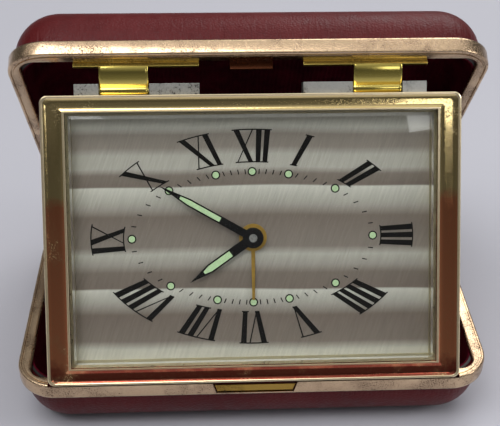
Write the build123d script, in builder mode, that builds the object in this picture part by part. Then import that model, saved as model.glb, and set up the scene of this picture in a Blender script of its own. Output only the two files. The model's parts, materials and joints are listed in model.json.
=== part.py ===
"""Folding travel alarm clock: a leather-covered two-part case that stands open,
with a hinged alarm clock leaning between its lid and the front edge of its base.

Millimetres. X runs to the right along the clock, Y away from the viewer and Z up.
The origin is the centre of the base's flat underside, on the table.
"""

import os
from math import atan2, cos, degrees, hypot, radians, sin, sqrt

from build123d import *

os.makedirs("parts", exist_ok=True)

# Case halves: base and lid are the same pressing, hinged along their rear edges
case_width = 108.0
case_depth = 78.0
case_half_height = 15.3
case_corner = 9.5
lip_gap = 0.3
hinge_back = 2.0

# Gold rim that edges each half
rim_proud = 1.0
rim_band_height = 3.7
rim_lip_width = 3.3
rim_lip_thickness = 0.9
rim_lip_corner = 3.6
rim_edge_radius = 0.3
rim_groove_inset = 0.8
rim_groove_width = 0.4
rim_groove_depth = 0.25

# Layers of each half, from the outside in
leather_thickness = 1.2
leather_corner = 10.6
leather_floor_radius = 10.0
shell_thickness = 0.6
lining_thickness = 0.4

# Main hinge at the rear
hinge_length = 64.0
hinge_knuckle_count = 5
hinge_barrel_radius = 1.3
hinge_pin_radius = 0.75
hinge_leaf_thickness = 0.5
hinge_leaf_height = 2.2
hinge_knuckle_gap = 0.15
running_clearance = 0.05

# Latch at the front
catch_opening_width = 19.5
catch_opening_narrow = 17.5
catch_side_gap = 0.25
catch_recess = 0.3
catch_inner_reach = 0.6
catch_height = 2.2
catch_travel = 0.5
tab_width = 9.5
tab_thickness = 0.8
tab_step = 0.3
tab_reach = 1.8
tab_depth = 2.4

# Clock hinge: gold straps from the lid curl round pins in the clock's brackets
strap_inset = 18.1
strap_width = 10.8
strap_thickness = 0.9
strap_ring_radius = 2.0
strap_reach = 4.9
strap_bend_end = 3.6
strap_tail = 4.0
strap_plate_reach = 1.0
strap_rivet_radius = 1.0
strap_rivet_height = 0.5
strap_rivet_spacing = 6.0
bracket_inner_width = 11.0
bracket_outer_width = 5.4
bracket_side_gap = 0.15
bracket_above_pin = 1.5
bracket_behind_pin = 2.4
clock_pin_radius = 1.0
clock_pivot_out = 4.3
clock_pivot_behind = 5.0
clock_pivot_above = 1.0
foot_overhang = 0.5
foot_height = 0.45
swing_clearance = 0.3

# Clock head
bezel_inset = 7.9
bezel_height = 64.1
bezel_thickness = 3.0
bezel_corner = 1.6
bezel_side_frame = 5.25
bezel_end_frame = 3.8
bezel_dish_depth = 0.35
bezel_outer_land = 0.7
bezel_inner_land = 0.5
crystal_flange_width = 0.8
crystal_flange_thickness = 0.8
crystal_seat_depth = 1.2
crystal_recess = 0.1
crystal_bevel_width = 1.25
crystal_bevel_depth = 0.7
press_gap = 0.1
surround_depth = 3.2
surround_wall = 1.6
dial_thickness = 0.4
dial_foot_radius = 0.7
can_inset = 2.1
can_wall = 0.8
can_corner = 3.0
bracket_seat_drop = 3.0
cover_thickness = 0.7
cover_screw_radius = 0.8
cover_screw_head_radius = 1.8
cover_screw_head_height = 0.8
cover_screw_slot_width = 0.4
cover_screw_slot_depth = 0.35
cover_screw_length = 4.0

# Dial print, raised a little so that each mark is a solid
numeral_ring_inset_x = 8.25
numeral_ring_inset_y = 7.65
hour_ring_inset_x = 5.5
hour_ring_inset_y = 5.8
numeral_height = 7.5
numeral_fan = 0.22
serif_steps = 8
numeral_thickness = 0.08
stem_width = 1.15
hairline_width = 0.26
serif_overhang = 0.3
glyph_gap = 0.55
v_width = 3.7
x_width = 4.1
tick_length = 1.1
tick_width = 0.22
dot_radius = 0.72
dot_ring_width = 0.28
dot_thickness = 0.12
minutes_on_dial = 60
hours_on_dial = 12

# Hands, from the dial forward
hand_thickness = 0.25
minute_hand_margin = 4.15
hour_hand_shorter = 6.7
alarm_hand_shorter = 9.9
alarm_hand_width = 0.95
alarm_hand_tip_width = 0.6
alarm_disc_radius = 3.1
minute_hand_width = 1.75
hour_hand_width = 2.1
hand_edge = 0.35
hand_slot_tip_width = 0.6
hand_slot_start_share = 0.35
hand_shoulder_share = 0.68
hand_slot_end_share = 0.775
hand_hub_radius = 2.3
hand_gap = 0.35
minute_hand_angle = 300.0
hour_hand_angle = 235.0
alarm_hand_angle = 180.0

# Tubes of the hands, one inside the next, and the arbors
centre_arbor_radius = 0.5
tube_wall = 0.35
arbor_radius = 0.5
arbor_hub_radius = 1.0
winding_arbor_radius = 0.9

# Movement frame, as depths behind the bezel's front face
dial_to_motion = 0.4
motion_layer = 0.9
front_plate_depth = 8.8
plate_thickness = 0.8
plate_spacing = 6.0
plate_side_inset = 6.0
plate_end_inset = 5.05
plate_corner = 3.0
pillar_inset = 4.0
pillar_radius = 1.8
pillar_tail_radius = 1.3
ratchet_space = 1.0
knob_gap = 0.4
knob_height = 2.4
knob_radius = 3.1
knob_flutes = 20
knob_flute_radius = 0.22
key_wing_span = 12.5
key_wing_thickness = 1.3
key_hub_radius = 2.0
key_height = 3.2
key_collar_height = 0.6

# Gear teeth, as shares of the module and of the tooth pitch
wheel_tooth_shares = (0.90, 1.15, 0.45, 0.50)
pinion_tooth_shares = (0.60, 1.15, 0.40, 0.50)
wheel_thickness = 0.5
pinion_overlap = 0.1

# Motion work behind the dial
cannon_teeth = 12
minute_wheel_teeth = 36
minute_pinion_teeth = 10
hour_wheel_teeth = 40
motion_module = 0.375
alarm_pinion_teeth = 12
alarm_wheel_teeth = 36
time_set_angle = -60.0
alarm_set_angle = 150.0

# Going train between the plates
barrel_teeth = 72
centre_pinion_teeth = 12
centre_wheel_teeth = 64
third_pinion_teeth = 8
third_wheel_teeth = 60
fourth_pinion_teeth = 8
fourth_wheel_teeth = 64
escape_pinion_teeth = 8
escape_teeth = 15
barrel_module = 0.27
train_module = 0.25
escape_module = 0.24
barrel_angle = 225.0
third_angle = 60.0
fourth_angle = 20.0
escape_angle = -50.0
pallet_angle = -50.0
balance_angle = -75.0
drum_height = 3.2
drum_wall = 0.6
drum_margin = 0.8
spring_strip = 0.25
mainspring_turns = 6
escape_radius = 4.0
escape_tooth_depth = 1.0
escape_thickness = 0.4
pallet_gap = 0.2
pallet_arm = 5.6
anchor_angle = 75.0
anchor_arm = 4.0
pallet_thickness = 0.5
pallet_width = 0.9
balance_distance = 9.4
balance_radius = 7.0
balance_rim_width = 1.0
balance_thickness = 0.9
balance_spoke_width = 0.8
hairspring_strip = 0.15
hairspring_inner = 1.5
hairspring_outer = 4.2
hairspring_turns = 5
hairspring_height = 0.5
stud_size = 0.8
spiral_points_per_turn = 8

# Alarm train between the plates
alarm_barrel_teeth = 60
alarm_escape_pinion_teeth = 8
alarm_module = 0.3
alarm_barrel_inset = 11.0
alarm_barrel_y = 2.0
alarm_escape_angle = 60.0
alarm_escape_radius = 3.4
hammer_gap = 0.2
hammer_angle = 35.0
hammer_arm = 17.0
hammer_head_radius = 1.7
hammer_arm_width = 0.9
hammer_arm_angle = 50.0
stop_slot_length = 8.0
stop_slot_width = 2.6
stop_button_length = 3.0
stop_button_height = 1.6
stop_plate_length = 12.4
stop_plate_width = 4.4
stop_plate_thickness = 0.5
stop_travel = 4.0
stop_x = 22.0
stop_y = 16.0

# Ratchets and clicks behind the back plate
ratchet_teeth = 18
ratchet_radius = 3.6
ratchet_tooth_depth = 0.5
ratchet_thickness = 0.5
click_gap = 0.2
click_length = 4.0
click_width = 1.2
click_stud_radius = 0.6
click_angle = 250.0

# Places worked out from the sizes above
rim_front = case_depth + hinge_back
lip_z = -lip_gap / 2
floor_z = lip_z - case_half_height
case_middle_y = -(rim_front + hinge_back) / 2
leather_width = case_width - 2 * rim_proud
leather_depth = case_depth - 2 * rim_proud
wall_stack = leather_thickness + shell_thickness + lining_thickness
lip_inner_front = rim_front - rim_lip_width
band_inner_corner = case_corner - rim_proud

# The clock's width follows the case, and its hinge, can and plates follow the clock
bezel_width = case_width - 2 * bezel_inset
strap_centre = bezel_width / 2 - strap_inset
can_width = bezel_width - 2 * can_inset
plate_width = can_width - 2 * plate_side_inset
alarm_barrel_x = alarm_barrel_inset - plate_width / 2

# The stand is a triangle: the base from hinge to foot, the lid from hinge to pivot, and the clock
clock_pivot_along = lip_inner_front - strap_reach
foot_y = -(rim_front + foot_overhang)
foot_z = lip_z + foot_height
clock_drop = bezel_height + clock_pivot_above
swing_radius = hypot(clock_drop, clock_pivot_behind)
base_side = hypot(foot_y, foot_z)
lid_side = hypot(clock_pivot_along, clock_pivot_out)
hinge_cosine = (base_side**2 + lid_side**2 - swing_radius**2) / (2 * base_side * lid_side)
hinge_sine = sqrt(1 - hinge_cosine**2)
pivot_rise = atan2(clock_pivot_out, clock_pivot_along)
lid_open = atan2(hinge_sine, hinge_cosine) + atan2(foot_z, -foot_y) + pivot_rise
pivot_y = -clock_pivot_along * cos(lid_open) - clock_pivot_out * sin(lid_open)
pivot_z = clock_pivot_along * sin(lid_open) - clock_pivot_out * cos(lid_open)
clock_lean = atan2(pivot_y - foot_y, pivot_z - foot_z) - atan2(clock_pivot_behind, clock_drop)
hinge_point = (0, case_depth / 2 + hinge_back, case_half_height + lip_gap / 2)
pivot_point = (0, hinge_point[1] + pivot_y, hinge_point[2] + pivot_z)

# Planes: each half about the main hinge with its open side up, the strap's side view,
# the bracket's side view, and the clock's front face with Y up the dial
base_plane = Plane(origin=hinge_point, x_dir=(1, 0, 0), z_dir=(0, 0, 1))
lid_plane = Plane(origin=hinge_point, x_dir=(-1, 0, 0), z_dir=(0, -sin(lid_open), -cos(lid_open)))
strap_plane = Plane(origin=pivot_point, x_dir=(0, -cos(lid_open), sin(lid_open)), z_dir=(1, 0, 0))
face_normal = Vector(0, -cos(clock_lean), sin(clock_lean))
face_up = Vector(0, sin(clock_lean), cos(clock_lean))
bracket_plane = Plane(origin=pivot_point, x_dir=face_normal, z_dir=(1, 0, 0))
face_rise = bezel_height / 2 + clock_pivot_above
face_centre = Vector(*pivot_point) - face_up * face_rise + face_normal * clock_pivot_behind
clock_plane = Plane(origin=face_centre, x_dir=(1, 0, 0), z_dir=face_normal)
side_plane = Plane(origin=hinge_point, x_dir=(0, 1, 0), z_dir=(1, 0, 0))

# Clock depths behind the bezel's front face
crystal_back = crystal_seat_depth + crystal_flange_thickness
surround_back = crystal_back + surround_depth
dial_back = surround_back + dial_thickness
front_plate_front = front_plate_depth
front_plate_back = front_plate_front + plate_thickness
back_plate_front = front_plate_back + plate_spacing
back_plate_back = back_plate_front + plate_thickness
can_back = back_plate_back + ratchet_space
cover_back = can_back + cover_thickness
crystal_opening_width = bezel_width - 2 * bezel_side_frame
crystal_opening_height = bezel_height - 2 * bezel_end_frame
seat_width = crystal_opening_width + 2 * crystal_flange_width
seat_height = crystal_opening_height + 2 * crystal_flange_width
surround_width = seat_width - 2 * press_gap
surround_height = seat_height - 2 * press_gap
can_height = bezel_height + 2 * (clock_pivot_above - bracket_seat_drop)
plate_height = can_height - 2 * plate_end_inset

# Rings of the dial print and lengths of the hands, all within the crystal's opening
numeral_ring_radius_x = crystal_opening_width / 2 - numeral_ring_inset_x
numeral_ring_radius_y = crystal_opening_height / 2 - numeral_ring_inset_y
hour_ring_radius_x = numeral_ring_radius_x - hour_ring_inset_x
hour_ring_radius_y = numeral_ring_radius_y - hour_ring_inset_y
minute_hand_length = crystal_opening_height / 2 - minute_hand_margin
hour_hand_length = minute_hand_length - hour_hand_shorter
alarm_hand_length = minute_hand_length - alarm_hand_shorter

# Hand levels and tube radii, from the outermost tube on the dial to the arbor in the middle
alarm_hand_level = surround_back - hand_gap
hour_hand_level = alarm_hand_level - hand_thickness - hand_gap
minute_hand_level = hour_hand_level - hand_thickness - hand_gap
cannon_bore = centre_arbor_radius + running_clearance
cannon_radius = cannon_bore + tube_wall
hour_bore = cannon_radius + running_clearance
hour_tube_radius = hour_bore + tube_wall
alarm_bore = hour_tube_radius + running_clearance
alarm_tube_radius = alarm_bore + tube_wall
dial_hole_radius = alarm_tube_radius + running_clearance

# Depths of the motion work's wheels, from the dial back to the front plate
alarm_wheel_level = dial_back + dial_to_motion + wheel_thickness
hour_wheel_level = alarm_wheel_level + motion_layer
minute_wheel_level = hour_wheel_level + motion_layer


def polar(distance, angle, start=(0, 0)):
    """Point at a distance and an angle in degrees from a start point."""
    return (start[0] + distance * cos(radians(angle)), start[1] + distance * sin(radians(angle)))


def mesh_distance(teeth, other_teeth, module):
    """Distance between the axes of two wheels in mesh."""
    return (teeth + other_teeth) * module / 2


def mesh_phase(teeth, other_teeth, angle, phase):
    """Angle of a tooth of the second wheel, which meshes with the first at the given angle."""
    return angle + 180 + 180 / other_teeth + (angle - phase) * teeth / other_teeth


# Places of the arbors on the plates, seen from the front
centre = (0, 0)
motion_distance = mesh_distance(cannon_teeth, minute_wheel_teeth, motion_module)
hour_module = 2 * motion_distance / (minute_pinion_teeth + hour_wheel_teeth)
time_set_place = polar(motion_distance, time_set_angle)
alarm_set_distance = mesh_distance(alarm_pinion_teeth, alarm_wheel_teeth, motion_module)
alarm_set_place = polar(alarm_set_distance, alarm_set_angle)
barrel_distance = mesh_distance(barrel_teeth, centre_pinion_teeth, barrel_module)
barrel_place = polar(barrel_distance, barrel_angle)
third_distance = mesh_distance(centre_wheel_teeth, third_pinion_teeth, train_module)
third_place = polar(third_distance, third_angle)
fourth_distance = mesh_distance(third_wheel_teeth, fourth_pinion_teeth, train_module)
fourth_place = polar(fourth_distance, fourth_angle, third_place)
escape_distance = mesh_distance(fourth_wheel_teeth, escape_pinion_teeth, escape_module)
escape_place = polar(escape_distance, escape_angle, fourth_place)
pallet_distance = escape_radius + pallet_gap + arbor_hub_radius
pallet_place = polar(pallet_distance, pallet_angle, escape_place)
balance_place = polar(balance_distance, balance_angle, pallet_place)
alarm_barrel_place = (alarm_barrel_x, alarm_barrel_y)
alarm_escape_distance = mesh_distance(alarm_barrel_teeth, alarm_escape_pinion_teeth, alarm_module)
alarm_escape_place = polar(alarm_escape_distance, alarm_escape_angle, alarm_barrel_place)
hammer_distance = alarm_escape_radius + hammer_gap + arbor_hub_radius
hammer_place = polar(hammer_distance, hammer_angle, alarm_escape_place)
pillar_x = plate_width / 2 - pillar_inset
pillar_y = plate_height / 2 - pillar_inset
pillar_places = [(x, y) for x in (-pillar_x, pillar_x) for y in (-pillar_y, pillar_y)]

# Arbors that run in both plates, and those that pass on through the back cover
plain_arbors = [third_place, fourth_place, escape_place, pallet_place, balance_place]
plain_arbors += [alarm_escape_place, hammer_place]
set_arbors = [time_set_place, alarm_set_place]
winding_arbors = [barrel_place, alarm_barrel_place]


def finish(builder, name):
    """Label a finished piece and write it to its own file."""
    builder.part.label = name
    export_step(builder.part, f"parts/{name}.step")


def tooth_outline(place, teeth, module, phase, shares):
    """Outline of a gear: radial flanks below the pitch circle and narrowed tips above it."""
    addendum, dedendum, tooth, tip = shares
    pitch_radius = teeth * module / 2
    half = tooth * 180 / teeth
    profile = [
        (pitch_radius - dedendum * module, -half),
        (pitch_radius, -half),
        (pitch_radius + addendum * module, -half * tip),
        (pitch_radius + addendum * module, half * tip),
        (pitch_radius, half),
        (pitch_radius - dedendum * module, half),
    ]
    steps = [phase + 360 * i / teeth for i in range(teeth)]
    return [polar(radius, step + turn, place) for step in steps for radius, turn in profile]


def ratchet_outline(place, teeth, radius, depth):
    """Outline of a saw-toothed wheel."""
    points = []
    for i in range(teeth):
        points.append(polar(radius, 360 * i / teeth, place))
        points.append(polar(radius - depth, 360 * i / teeth, place))
    return points


def wheel_assembly(place, gears, shafts, bores=()):
    """Wheels, shafts and tubes on one axis of the clock.

    gears: (outline points, depth of the back face, thickness)
    shafts and bores: (radius, depth of the back end, depth of the front end)
    """
    with BuildPart() as assembly:
        for points, back, thickness in gears:
            with BuildSketch(clock_plane.offset(-back)):
                with BuildLine():
                    Polyline(*points, close=True)
                make_face()
            extrude(amount=thickness)
        for radius, back, front in shafts:
            with BuildSketch(clock_plane.offset(-back)):
                with Locations(place):
                    Circle(radius)
            extrude(amount=back - front)
        for radius, back, front in bores:
            with BuildSketch(clock_plane.offset(-back)):
                with Locations(place):
                    Circle(radius)
            extrude(amount=back - front, mode=Mode.SUBTRACT)
    return assembly


def tray_block(half_plane, inset):
    """Solid block with the leather's outside shape, drawn in by an inset."""
    up = Axis(half_plane.origin, half_plane.z_dir)
    top = lip_z - rim_lip_thickness
    with BuildPart() as block:
        with BuildSketch(half_plane.offset(floor_z + inset)):
            with Locations((0, case_middle_y)):
                RectangleRounded(
                    leather_width - 2 * inset,
                    leather_depth - 2 * inset,
                    leather_corner - inset,
                )
        extrude(amount=top - floor_z - inset)
        floor = block.faces().filter_by(up).sort_by(up)[0]
        fillet(floor.edges(), leather_floor_radius - inset)
    return block


def case_layer(half_plane, outer, inner):
    """One layer of a case half, between two insets from the leather's outside."""
    outside = tray_block(half_plane, outer)
    inside = tray_block(half_plane, inner)
    with BuildPart() as layer:
        add(outside.part)
        add(inside.part, mode=Mode.SUBTRACT)
        if half_plane is base_plane:
            with BuildSketch(side_plane.offset(-relief_width / 2)):
                with Locations((pivot_y, pivot_z)):
                    Circle(swing_radius + swing_clearance)
            extrude(amount=relief_width, mode=Mode.SUBTRACT)
            with BuildSketch(catch_plane):
                with BuildLine():
                    Polyline(*catch_window(0), close=True)
                make_face()
            extrude(amount=-catch_pocket_depth, mode=Mode.SUBTRACT)
    return layer


def catch_window(gap):
    """Corners of the latch's window in the front band, drawn in by a gap."""
    top = lip_z
    bottom = lip_z - rim_lip_thickness - catch_height + gap
    wide = catch_opening_width / 2 - gap
    narrow = catch_opening_narrow / 2 - gap
    return [(-wide, top), (wide, top), (narrow, bottom), (-narrow, bottom)]


def case_rim(half_plane):
    """Gold rim of a case half: a flat lip, a fine groove and a band down the outside."""
    up = Axis(half_plane.origin, half_plane.z_dir)
    with BuildPart() as rim:
        with BuildSketch(half_plane.offset(lip_z - rim_band_height)):
            with Locations((0, case_middle_y)):
                RectangleRounded(case_width, case_depth, case_corner)
                RectangleRounded(leather_width, leather_depth, band_inner_corner, mode=Mode.SUBTRACT)
        extrude(amount=rim_band_height)
        with BuildSketch(half_plane.offset(lip_z - rim_lip_thickness)):
            with Locations((0, case_middle_y)):
                RectangleRounded(case_width, case_depth, case_corner)
                RectangleRounded(
                    case_width - 2 * rim_lip_width,
                    case_depth - 2 * rim_lip_width,
                    rim_lip_corner,
                    mode=Mode.SUBTRACT,
                )
        extrude(amount=rim_lip_thickness)
        lip_face = rim.faces().filter_by(up).sort_by(up)[-1]
        fillet(lip_face.outer_wire().edges(), rim_edge_radius)
        groove_out = rim_groove_inset
        groove_in = rim_groove_inset + rim_groove_width
        with BuildSketch(half_plane.offset(lip_z)):
            with Locations((0, case_middle_y)):
                RectangleRounded(
                    case_width - 2 * groove_out, case_depth - 2 * groove_out, case_corner - groove_out
                )
                RectangleRounded(
                    case_width - 2 * groove_in,
                    case_depth - 2 * groove_in,
                    case_corner - groove_in,
                    mode=Mode.SUBTRACT,
                )
        extrude(amount=-rim_groove_depth, mode=Mode.SUBTRACT)
        if half_plane is base_plane:
            with BuildSketch(side_plane.offset(-relief_width / 2)):
                with Locations((pivot_y, pivot_z)):
                    Circle(swing_radius + swing_clearance)
            extrude(amount=relief_width, mode=Mode.SUBTRACT)
            with BuildSketch(catch_plane):
                with BuildLine():
                    Polyline(*catch_window(0), close=True)
                make_face()
            extrude(amount=-catch_pocket_depth, mode=Mode.SUBTRACT)
    return rim


def hinge_leaf(half_plane, first):
    """Strip on the rear band of a half, with every second knuckle of the hinge barrel."""
    pitch = hinge_length / hinge_knuckle_count
    knuckle = pitch - hinge_knuckle_gap
    bore_radius = hinge_pin_radius if first == 0 else hinge_pin_radius + running_clearance
    starts = [i * pitch - hinge_length / 2 for i in range(first, hinge_knuckle_count, 2)]
    section_plane = Plane(origin=half_plane.origin, x_dir=half_plane.y_dir, z_dir=half_plane.x_dir)
    leaf_top = lip_z - lip_gap
    with BuildPart() as leaf:
        with BuildSketch(section_plane.offset(-hinge_length / 2)):
            with BuildLine():
                Polyline(
                    (-hinge_back, leaf_top),
                    (-hinge_back + hinge_leaf_thickness, leaf_top),
                    (-hinge_back + hinge_leaf_thickness, leaf_top - hinge_leaf_height),
                    (-hinge_back, leaf_top - hinge_leaf_height),
                    close=True,
                )
            make_face()
        extrude(amount=hinge_length)
        for start in starts:
            with BuildSketch(section_plane.offset(start)):
                Circle(hinge_barrel_radius)
                with BuildLine():
                    Polyline(
                        (-hinge_back, leaf_top),
                        (0, leaf_top),
                        (0, -hinge_barrel_radius),
                        (-hinge_back, -hinge_barrel_radius),
                        close=True,
                    )
                make_face()
            extrude(amount=knuckle)
        for start in starts:
            with BuildSketch(section_plane.offset(start)):
                Circle(bore_radius)
            extrude(amount=knuckle, mode=Mode.SUBTRACT)
    return leaf


relief_width = bezel_width + 2 * catch_side_gap
catch_pocket_depth = rim_proud + wall_stack + running_clearance
catch_origin = (0, hinge_point[1] - rim_front, hinge_point[2])
catch_plane = Plane(origin=catch_origin, x_dir=(1, 0, 0), z_dir=(0, -1, 0))
shell_inset = leather_thickness
lining_inset = leather_thickness + shell_thickness

# Case halves, layer by layer
for half, half_plane, first_knuckle in (("base", base_plane, 0), ("lid", lid_plane, 1)):
    finish(case_layer(half_plane, 0, shell_inset), f"{half}_leather")
    finish(case_layer(half_plane, shell_inset, lining_inset), f"{half}_shell")
    finish(case_layer(half_plane, lining_inset, wall_stack), f"{half}_lining")
    finish(case_rim(half_plane), f"{half}_rim")
    finish(hinge_leaf(half_plane, first_knuckle), f"{half}_hinge_leaf")

# Main hinge pin, held by the base's knuckles
with BuildPart() as main_hinge_pin:
    with BuildSketch(side_plane.offset(-hinge_length / 2)):
        Circle(hinge_pin_radius)
    extrude(amount=hinge_length - hinge_knuckle_gap)
finish(main_hinge_pin, "main_hinge_pin")

# Thumb catch in the window of the base's front band
with BuildPart() as base_catch:
    with BuildSketch(catch_plane.offset(-catch_recess)):
        with BuildLine():
            Polyline(*catch_window(catch_side_gap), close=True)
        make_face()
    extrude(amount=-(catch_pocket_depth - catch_recess + catch_inner_reach))
    with BuildSketch(side_plane.offset(-catch_opening_width)):
        with Locations((pivot_y, pivot_z)):
            Circle(swing_radius + swing_clearance + catch_travel)
    extrude(amount=2 * catch_opening_width, mode=Mode.SUBTRACT)
finish(base_catch, "base_catch")

# Tab on the lid's front lip, which the catch holds when the case is shut
tab_plane = Plane(origin=hinge_point, x_dir=strap_plane.x_dir, z_dir=strap_plane.z_dir)
with BuildPart() as lid_tab:
    with BuildSketch(tab_plane.offset(-tab_width / 2)):
        with BuildLine():
            Polyline(
                (lip_inner_front, lip_z - tab_depth),
                (lip_inner_front, lip_z),
                (lip_inner_front - tab_step, lip_z),
                (lip_inner_front - tab_step, lip_z + tab_reach),
                (lip_inner_front - tab_thickness, lip_z + tab_reach),
                (lip_inner_front - tab_thickness, lip_z - tab_depth),
                close=True,
            )
        make_face()
    extrude(amount=tab_width)
finish(lid_tab, "lid_tab")

# Gold straps that curl round the clock's pins, each on a wide plate inside the lid's front wall
arm_turn = strap_ring_radius - strap_thickness
bracket_inner_x = strap_centre - strap_width / 2 - bracket_side_gap
bracket_outer_x = strap_centre + strap_width / 2 + bracket_side_gap
bracket_span = bracket_inner_width + bracket_outer_width + strap_width + 2 * bracket_side_gap
bracket_starts = (bracket_inner_x - bracket_inner_width, -bracket_outer_x - bracket_outer_width)
plate_front = lip_z - clock_pivot_out + strap_plate_reach
with BuildPart() as hinge_straps:
    for side in (-1, 1):
        with BuildSketch(strap_plane.offset(side * strap_centre - strap_width / 2)):
            with BuildLine():
                Polyline(
                    (arm_turn, 0),
                    (strap_ring_radius, 0),
                    (strap_reach, -strap_bend_end),
                    (strap_reach, -clock_pivot_out - strap_tail),
                    (strap_reach - strap_thickness, -clock_pivot_out - strap_tail),
                    (strap_reach - strap_thickness, -strap_bend_end),
                    close=True,
                )
            make_face()
            Circle(strap_ring_radius)
            Circle(clock_pin_radius + running_clearance, mode=Mode.SUBTRACT)
        extrude(amount=strap_width)
    for start in bracket_starts:
        with BuildSketch(strap_plane.offset(start)):
            with BuildLine():
                Polyline(
                    (strap_reach - strap_thickness, plate_front),
                    (strap_reach, plate_front),
                    (strap_reach, -clock_pivot_out - strap_tail),
                    (strap_reach - strap_thickness, -clock_pivot_out - strap_tail),
                    close=True,
                )
            make_face()
        extrude(amount=bracket_span)
finish(hinge_straps, "hinge_straps")

# Rivets that hold each strap to the lid's wall
rivet_origin = strap_plane.from_local_coords(
    (strap_reach - strap_thickness, -clock_pivot_out - strap_tail / 2 - rim_lip_thickness / 2, 0)
)
rivet_plane = Plane(origin=rivet_origin, x_dir=(1, 0, 0), z_dir=-strap_plane.x_dir)
with BuildPart() as strap_rivets:
    with BuildSketch(rivet_plane):
        for side in (-1, 1):
            with Locations((side * strap_centre, 0)):
                with GridLocations(strap_rivet_spacing, 0, 2, 1):
                    Circle(strap_rivet_radius)
    extrude(amount=strap_rivet_height)
    heads = strap_rivets.faces().sort_by(Axis(rivet_origin, rivet_plane.z_dir))[-4:]
    chamfer(heads.edges(), strap_rivet_height / 2)
finish(strap_rivets, "strap_rivets")

# Steel brackets behind the bezel's top edge, an inner and an outer one beside each strap
bracket_front = clock_pivot_behind - bezel_thickness
with BuildPart() as hinge_brackets:
    for start, width in (
        (bracket_inner_x - bracket_inner_width, bracket_inner_width),
        (bracket_outer_x, bracket_outer_width),
        (-bracket_inner_x, bracket_inner_width),
        (-bracket_outer_x - bracket_outer_width, bracket_outer_width),
    ):
        with BuildSketch(bracket_plane.offset(start)):
            with BuildLine():
                Polyline(
                    (-bracket_behind_pin, -bracket_above_pin),
                    (bracket_front, -bracket_above_pin),
                    (bracket_front, bracket_seat_drop),
                    (-bracket_behind_pin, bracket_seat_drop),
                    close=True,
                )
            make_face()
            Circle(clock_pin_radius, mode=Mode.SUBTRACT)
        extrude(amount=width)
finish(hinge_brackets, "hinge_brackets")

# Pins of the clock's hinge, one for each strap
with BuildPart() as clock_hinge_pins:
    for start in bracket_starts:
        with BuildSketch(bracket_plane.offset(start)):
            Circle(clock_pin_radius)
        extrude(amount=bracket_span)
finish(clock_hinge_pins, "clock_hinge_pins")

# Bezel: a polished frame, dished between a narrow outer and inner land
dish_outer_x = bezel_width - 2 * bezel_outer_land
dish_outer_y = bezel_height - 2 * bezel_outer_land
dish_inner_x = crystal_opening_width + 2 * bezel_inner_land
dish_inner_y = crystal_opening_height + 2 * bezel_inner_land
with BuildPart() as bezel:
    with BuildSketch(clock_plane.offset(-bezel_thickness)):
        RectangleRounded(bezel_width, bezel_height, bezel_corner)
        Rectangle(seat_width, seat_height, mode=Mode.SUBTRACT)
    extrude(amount=bezel_thickness - crystal_seat_depth)
    with BuildSketch(clock_plane.offset(-crystal_seat_depth)):
        RectangleRounded(bezel_width, bezel_height, bezel_corner)
        Rectangle(crystal_opening_width, crystal_opening_height, mode=Mode.SUBTRACT)
    extrude(amount=crystal_seat_depth)
    with BuildSketch(clock_plane):
        RectangleRounded(dish_outer_x, dish_outer_y, bezel_corner - bezel_outer_land)
        Rectangle(dish_inner_x, dish_inner_y, mode=Mode.SUBTRACT)
    extrude(amount=-bezel_dish_depth, mode=Mode.SUBTRACT)
finish(bezel, "bezel")

# Crystal: a clear slab with a bevelled front and a flange behind the bezel's opening
crystal_width = crystal_opening_width - 2 * press_gap
crystal_height = crystal_opening_height - 2 * press_gap
face_axis = Axis(clock_plane.origin, clock_plane.z_dir)
with BuildPart() as crystal:
    with BuildSketch(clock_plane.offset(-crystal_seat_depth)):
        Rectangle(crystal_width, crystal_height)
    extrude(amount=crystal_seat_depth - crystal_recess)
    front = crystal.faces().sort_by(face_axis)[-1]
    chamfer(front.edges(), crystal_bevel_width, crystal_bevel_depth, reference=front)
    with BuildSketch(clock_plane.offset(-crystal_back)):
        Rectangle(surround_width, surround_height)
    extrude(amount=crystal_flange_thickness)
finish(crystal, "crystal")

# Surround that spaces the dial behind the crystal
with BuildPart() as dial_surround:
    with BuildSketch(clock_plane.offset(-surround_back)):
        Rectangle(surround_width, surround_height)
        Rectangle(
            surround_width - 2 * surround_wall,
            surround_height - 2 * surround_wall,
            mode=Mode.SUBTRACT,
        )
    extrude(amount=surround_depth)
finish(dial_surround, "dial_surround")

# Dial plate on four feet that stand on the front plate
with BuildPart() as dial:
    with BuildSketch(clock_plane.offset(-dial_back)):
        Rectangle(surround_width, surround_height)
        Circle(dial_hole_radius, mode=Mode.SUBTRACT)
    extrude(amount=dial_thickness)
    with BuildSketch(clock_plane.offset(-front_plate_front)):
        with Locations(*pillar_places):
            Circle(dial_foot_radius)
    extrude(amount=front_plate_front - dial_back)
finish(dial, "dial")


def ring_point(radius_x, radius_y, hour_angle):
    """Point of an elliptical ring at a clock angle, counted from twelve in degrees."""
    turn = radians(hour_angle)
    reach = 1 / hypot(sin(turn) / radius_x, cos(turn) / radius_y)
    return (reach * sin(turn), reach * cos(turn))


def turned(points, hour_angle, middle):
    """Points turned clockwise to a clock angle and moved to a place on the dial."""
    turn = radians(hour_angle)
    return [
        (middle[0] + x * cos(turn) + y * sin(turn), middle[1] - x * sin(turn) + y * cos(turn))
        for x, y in points
    ]


def slanted(top_left, bottom_left, width, top):
    """Stroke of even width between the top and the bottom of a numeral."""
    return [(top_left, top), (top_left + width, top), (bottom_left + width, -top), (bottom_left, -top)]


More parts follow.
